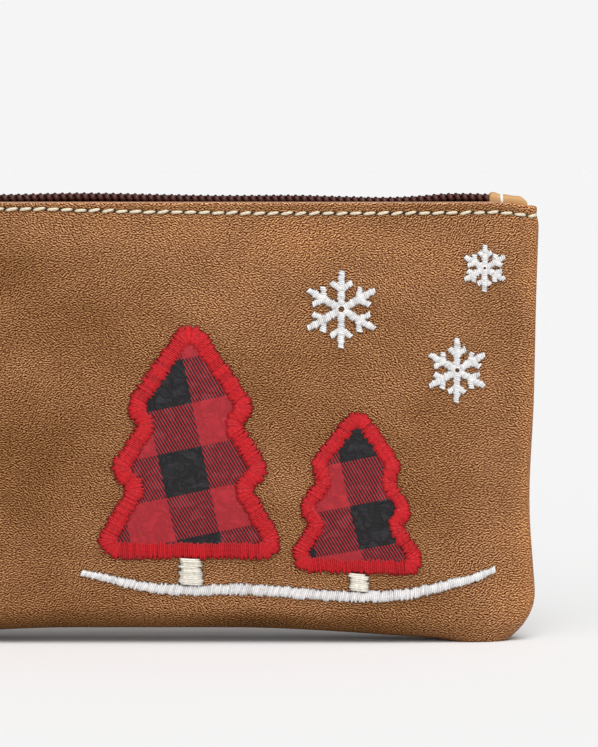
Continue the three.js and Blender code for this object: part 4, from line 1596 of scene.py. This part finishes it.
def light_studio(scene, settings):
    """Soft light all round, stronger towards the front, an even backdrop, and a wide sun from above."""
    world = bpy.data.worlds.new("soft_studio")
    world.use_nodes = True
    tree = world.node_tree
    tree.nodes.clear()
    coords = add(tree, "ShaderNodeTexCoord").outputs
    parts = add(tree, "ShaderNodeSeparateXYZ", {0: coords["Generated"]})
    strength = add(
        tree,
        "ShaderNodeMapRange",
        {
            "Value": parts.outputs["Y"],
            "From Min": -1.0,
            "From Max": 0.0,
            "To Min": settings.front,
            "To Max": settings.sky,
        },
    )
    white = (1, 1, 1, 1)
    light = add(tree, "ShaderNodeBackground", {"Color": white, "Strength": strength.outputs[0]})
    seen = add(tree, "ShaderNodeBackground", {"Color": (*settings.backdrop, 1), "Strength": 1.0})
    rays = add(tree, "ShaderNodeLightPath")
    mixed = add(
        tree,
        "ShaderNodeMixShader",
        {0: rays.outputs["Is Camera Ray"], 1: light.outputs[0], 2: seen.outputs[0]},
    )
    add(tree, "ShaderNodeOutputWorld", {"Surface": mixed.outputs[0]})
    scene.world = world
    sun = bpy.data.lights.new("soft_top_light", "SUN")
    sun.energy = settings.sun
    sun.angle = SUN_SPREAD
    look_along(link_object(scene, "soft_top_light", sun), Vector(SUN_DIRECTION))


def place_camera(scene, settings):
    """The camera at the photograph's angle, whose lens takes in the photograph's height at the pouch."""
    distance = settings.camera_distance
    rise = settings.camera_elevation
    camera = bpy.data.cameras.new("camera")
    camera.sensor_width = SENSOR
    camera.lens = SENSOR * distance / (FRAME_HEIGHT * MM)
    camera.clip_start = NEAREST_SEEN * MM
    camera.clip_end = FARTHEST_SEEN * MM
    eye = link_object(scene, "camera", camera)
    back = Vector((0, -np.cos(rise), np.sin(rise)))
    eye.location = Vector(FRAME_CENTRE) * MM + back * distance
    look_along(eye, -back)
    scene.camera = eye


# Settings that a user may change


class PouchLeather(bpy.types.PropertyGroup):
    """The leather and the stitching along its top edge."""

    grain: length_of("Grain", "From one wrinkle of the leather's grain to the next", 0.53)
    ridge: colour_of("Ridges", "Colour of the grain's wrinkles", "#cb975a")
    crease: colour_of("Creases", "Colour of the creases between them", "#4b0c02")
    cut_edge: colour_of("Cut edge", "Colour of the leather's cut top edge", "#a98873")
    mottle: length_of("Mottling", "Size of the lighter and darker clouds", 17)
    stitch_pitch: length_of("Stitch pitch", "From one stitch of the top row to the next", 3.18)
    stitch_drop: length_of("Stitch drop", "From the top edge down to the row of stitches", 2.3)
    stitch_long: length_of("Stitch length", "Length of one stitch from hole to hole", 2.54)
    stitch_thick: length_of("Stitch thickness", "Thickness of the stitching thread", 0.76)
    stitch_slant: length_of("Stitch slant", "How far each end of a stitch lies above or below the row", 0.2)
    stitch: colour_of("Stitching", "Colour of the stitching thread", "#dfd4ba")


class PouchZip(bpy.types.PropertyGroup):
    """The zip and the leather tabs over its ends."""

    coil_pitch: length_of("Coil pitch", "From one turn of a coil to the next", 1.68)
    coil_wire: length_of("Coil wire", "Thickness of the coils' nylon wire", 1.15)
    coil: colour_of("Coils", "Colour of the coils", "#58291f")
    # The cords are darker than the tape, which paints shade into the gaps between the coil's turns
    cord: colour_of("Cords", "Colour of the cords and threads in the coils", "#321812")
    tape: colour_of("Tape", "Colour of the zip tape", "#4a342e")
    tab_pale: colour_of("Tab", "Colour of the leather tabs", "#d4a870")
    tab_dark: colour_of("Tab fibre", "Darker fibres of the leather tabs", "#ad7d50")
    tab_stitch: colour_of("Tab stitch", "Colour of the stitch across a tab", "#f2eee6")
    metal_dull: colour_of("Slider", "Dull colour of the slider", "#5a4329")
    metal_rubbed: colour_of("Slider, rubbed", "Colour of the slider where it is rubbed", "#9a7a4c")


class PouchTrees(bpy.types.PropertyGroup):
    """The applied trees and snow."""

    satin_pitch: length_of("Satin pitch", "From one satin thread to the next", 0.46)
    satin_thread: length_of("Satin thread", "Thickness of a satin thread", 0.5)
    check: length_of("Check", "Side of one square of the checked cloth", 10.4)
    twill: length_of("Stripes", "From one diagonal stripe of the check to the next", 0.66)
    check_red: colour_of("Check, red", "Red of the checked cloth", "#a2232c")
    check_dark: colour_of("Check, dark", "Dark of the checked cloth", "#262427")
    red: colour_of("Red thread", "Colour of the satin borders", "#c8101c")
    cream: colour_of("Cream thread", "Colour of the trunks", "#f6f0e2")
    white: colour_of("White thread", "Colour of the snow", "#f2f0ef")


class PouchStage(bpy.types.PropertyGroup):
    """The floor, the lights and the camera."""

    floor: colour_of("Floor", "Colour of the floor", "#e7e7e7")
    backdrop: colour_of("Backdrop", "Colour behind the floor", "#f5f5f5")
    sky: strength_of("Sky", "Strength of the soft light all round", 0.34)
    front: strength_of("Front", "Strength of the wide light from the front", 1.25)
    sun: strength_of("Sun", "Strength of the soft light from above", 2.14)
    camera_distance: length_of("Camera distance", "From the camera to the pouch", 900)
    camera_elevation: FloatProperty(
        name="Camera elevation",
        description="How far the camera looks down",
        default=np.radians(4.0),
        unit="ROTATION",
    )


# Operators


class POUCH_OT_leather(bpy.types.Operator):
    """Makes the two leather panels with their stitched top edges"""

    bl_idname = "pouch.leather"
    bl_label = "Leather panels"

    def execute(self, context):
        settings = context.scene.pouch_leather
        stitches = (settings.stitch_pitch / MM, settings.stitch_drop / MM)
        hide = cognac_leather(settings, stitches)
        for name, side in SIDES.items():
            piece = make_piece(f"{name}_leather", hide, panel_solid(side, stitches))
            hand_over(piece, "cognac_leather", f"{name}_panel")
        return {"FINISHED"}


class POUCH_OT_stitching(bpy.types.Operator):
    """Makes the row of stitches along the top edge of each panel"""

    bl_idname = "pouch.stitching"
    bl_label = "Top stitching"

    def execute(self, context):
        settings = context.scene.pouch_leather
        thread = spun_thread("cream_stitching_thread", settings.stitch, lay=1.1)
        rng = np.random.default_rng(SEEDS["stitching"])
        kinds = ("pitch", "drop", "long", "thick", "slant")
        sizes = [getattr(settings, f"stitch_{kind}") / MM for kind in kinds]
        for name, side in SIDES.items():
            piece = make_piece(f"{name}_stitching", thread, stitch_row(side, *sizes, rng))
            hand_over(piece, "cream_thread", f"{name}_panel")
        return {"FINISHED"}


class POUCH_OT_tapes(bpy.types.Operator):
    """Makes the two halves of the woven zip tape"""

    bl_idname = "pouch.tapes"
    bl_label = "Zip tapes"

    def execute(self, context):
        cloth = zip_tape_cloth(context.scene.pouch_zip)
        for name, side in SIDES.items():
            piece = make_piece(f"{name}_tape", cloth, tape_solid(side))
            hand_over(piece, "zip_tape", f"zip_tape_{name}")
        return {"FINISHED"}


class POUCH_OT_chain(bpy.types.Operator):
    """Makes the two meshed coils of the zip, and the cords and threads that hold them to the tapes"""

    bl_idname = "pouch.chain"
    bl_label = "Zip chain"

    def execute(self, context):
        settings = context.scene.pouch_zip
        sizes = (settings.coil_pitch / MM, settings.coil_wire / MM)
        coils = make_piece("zip_coils", coil_nylon(settings), coil_solid(*sizes))
        hand_over(coils, "zip_coil", "zip_chain")
        thread = spun_thread("brown_sewing_thread", settings.cord, lay=0.9)
        cords = make_piece("zip_cords", thread, *coil_cord_solid(*sizes))
        hand_over(cords, "zip_coil", "zip_chain")
        return {"FINISHED"}


class POUCH_OT_slider(bpy.types.Operator):
    """Makes the slider and its pull"""

    bl_idname = "pouch.slider"
    bl_label = "Zip slider"

    def execute(self, context):
        metal = aged_brass(context.scene.pouch_zip)
        hand_over(make_piece("slider_body", metal, *slider_solids()), "slider_metal", "zip_slider")
        hand_over(make_piece("slider_pull", metal, pull_solid()), "slider_metal", "zip_slider")
        return {"FINISHED"}


class POUCH_OT_tabs(bpy.types.Operator):
    """Makes the stitched leather tabs over the ends of the zip"""

    bl_idname = "pouch.tabs"
    bl_label = "Zip end tabs"

    def execute(self, context):
        settings = context.scene.pouch_zip
        hide = tab_leather(settings)
        thread = spun_thread("white_stitching_thread", settings.tab_stitch, lay=1.1)
        for name, end in ENDS.items():
            tab = make_piece(f"{name}_tab", hide, tab_solid(end))
            hand_over(tab, "tab_leather", f"zip_tab_{name}")
            stitch = make_piece(f"{name}_tab_stitch", thread, tab_stitch_solid(end))
            hand_over(stitch, "white_thread", f"zip_tab_{name}")
        return {"FINISHED"}


class POUCH_OT_trees(bpy.types.Operator):
    """Makes the applied trees: a checked patch, a satin border and a satin trunk each"""

    bl_idname = "pouch.trees"
    bl_label = "Applied trees"

    def execute(self, context):
        settings = context.scene.pouch_trees
        pitch, thread = settings.satin_pitch / MM, settings.satin_thread / MM
        cloth = checked_cloth(settings)
        red = spun_thread("red_satin_thread", settings.red, lay=1.2)
        cream = spun_thread("cream_satin_thread", settings.cream, lay=1.2)
        rng = np.random.default_rng(SEEDS["trees"])
        for name, tree in TREES.items():
            patch = make_piece(f"{name}_tree_patch", cloth, patch_solid(tree))
            hand_over(patch, "checked_cloth", f"tree_patch_{name}")
            border = make_piece(f"{name}_tree_satin", red, border_satin(tree, pitch, thread, rng))
            hand_over(border, "red_thread", f"tree_border_{name}")
            trunk = make_piece(f"{name}_tree_trunk_satin", cream, trunk_satin(tree, pitch, thread, rng))
            hand_over(trunk, "cream_thread", f"tree_trunk_{name}")
        return {"FINISHED"}


class POUCH_OT_snow(bpy.types.Operator):
    """Makes the satin snow line under the trees and the snowflakes above them"""

    bl_idname = "pouch.snow"
    bl_label = "Snow"

    def execute(self, context):
        settings = context.scene.pouch_trees
        pitch, thread = settings.satin_pitch / MM, settings.satin_thread / MM
        white = spun_thread("white_satin_thread", settings.white, lay=1.2)
        rng = np.random.default_rng(SEEDS["snow"])
        line = make_piece("snow_line_satin", white, snow_satin(pitch, thread, rng))
        hand_over(line, "white_thread", "snow_line")
        for k, flake in enumerate(SNOWFLAKES, 1):
            piece = make_piece(f"snowflake_{k}_satin", white, *snowflake_satin(flake, pitch, thread, rng))
            hand_over(piece, "white_thread", f"snowflake_{k}")
        return {"FINISHED"}


class POUCH_OT_stage(bpy.types.Operator):
    """Makes the pale floor, the soft studio light and the camera at the photograph's angle"""

    bl_idname = "pouch.stage"
    bl_label = "Stage"

    def execute(self, context):
        scene = context.scene
        scene.view_settings.view_transform = "Standard"
        lay_floor(scene, scene.pouch_stage)
        light_studio(scene, scene.pouch_stage)
        place_camera(scene, scene.pouch_stage)
        return {"FINISHED"}


OPERATORS = (
    POUCH_OT_stage,
    POUCH_OT_leather,
    POUCH_OT_stitching,
    POUCH_OT_tapes,
    POUCH_OT_chain,
    POUCH_OT_slider,
    POUCH_OT_tabs,
    POUCH_OT_trees,
    POUCH_OT_snow,
)
SETTINGS = {
    "pouch_leather": PouchLeather,
    "pouch_zip": PouchZip,
    "pouch_trees": PouchTrees,
    "pouch_stage": PouchStage,
}


class POUCH_PT_pieces(bpy.types.Panel):
    """Lists the pouch's pieces"""

    bl_label = "Leather zip pouch"
    bl_space_type = "VIEW_3D"
    bl_region_type = "UI"
    bl_category = "Pouch"

    def draw(self, context):
        for operator in OPERATORS:
            self.layout.operator(operator.bl_idname)
        for name in SETTINGS:
            settings = getattr(context.scene, name)
            box = self.layout.box()
            for field in settings.__annotations__:
                box.prop(settings, field)


CLASSES = (*SETTINGS.values(), *OPERATORS, POUCH_PT_pieces)


def register():
    """Registers the classes and hangs their settings on the scene."""
    for each in CLASSES:
        bpy.utils.register_class(each)
    for name, settings in SETTINGS.items():
        setattr(bpy.types.Scene, name, PointerProperty(type=settings))


def unregister():
    """Takes the settings and the classes away again."""
    for name in SETTINGS:
        delattr(bpy.types.Scene, name)
    for each in reversed(CLASSES):
        bpy.utils.unregister_class(each)


def main():
    register()
    bpy.ops.pouch.stage()
    bpy.ops.pouch.leather()
    bpy.ops.pouch.stitching()
    bpy.ops.pouch.tapes()
    bpy.ops.pouch.chain()
    bpy.ops.pouch.slider()
    bpy.ops.pouch.tabs()
    bpy.ops.pouch.trees()
    bpy.ops.pouch.snow()


if __name__ == "__main__":
    main()
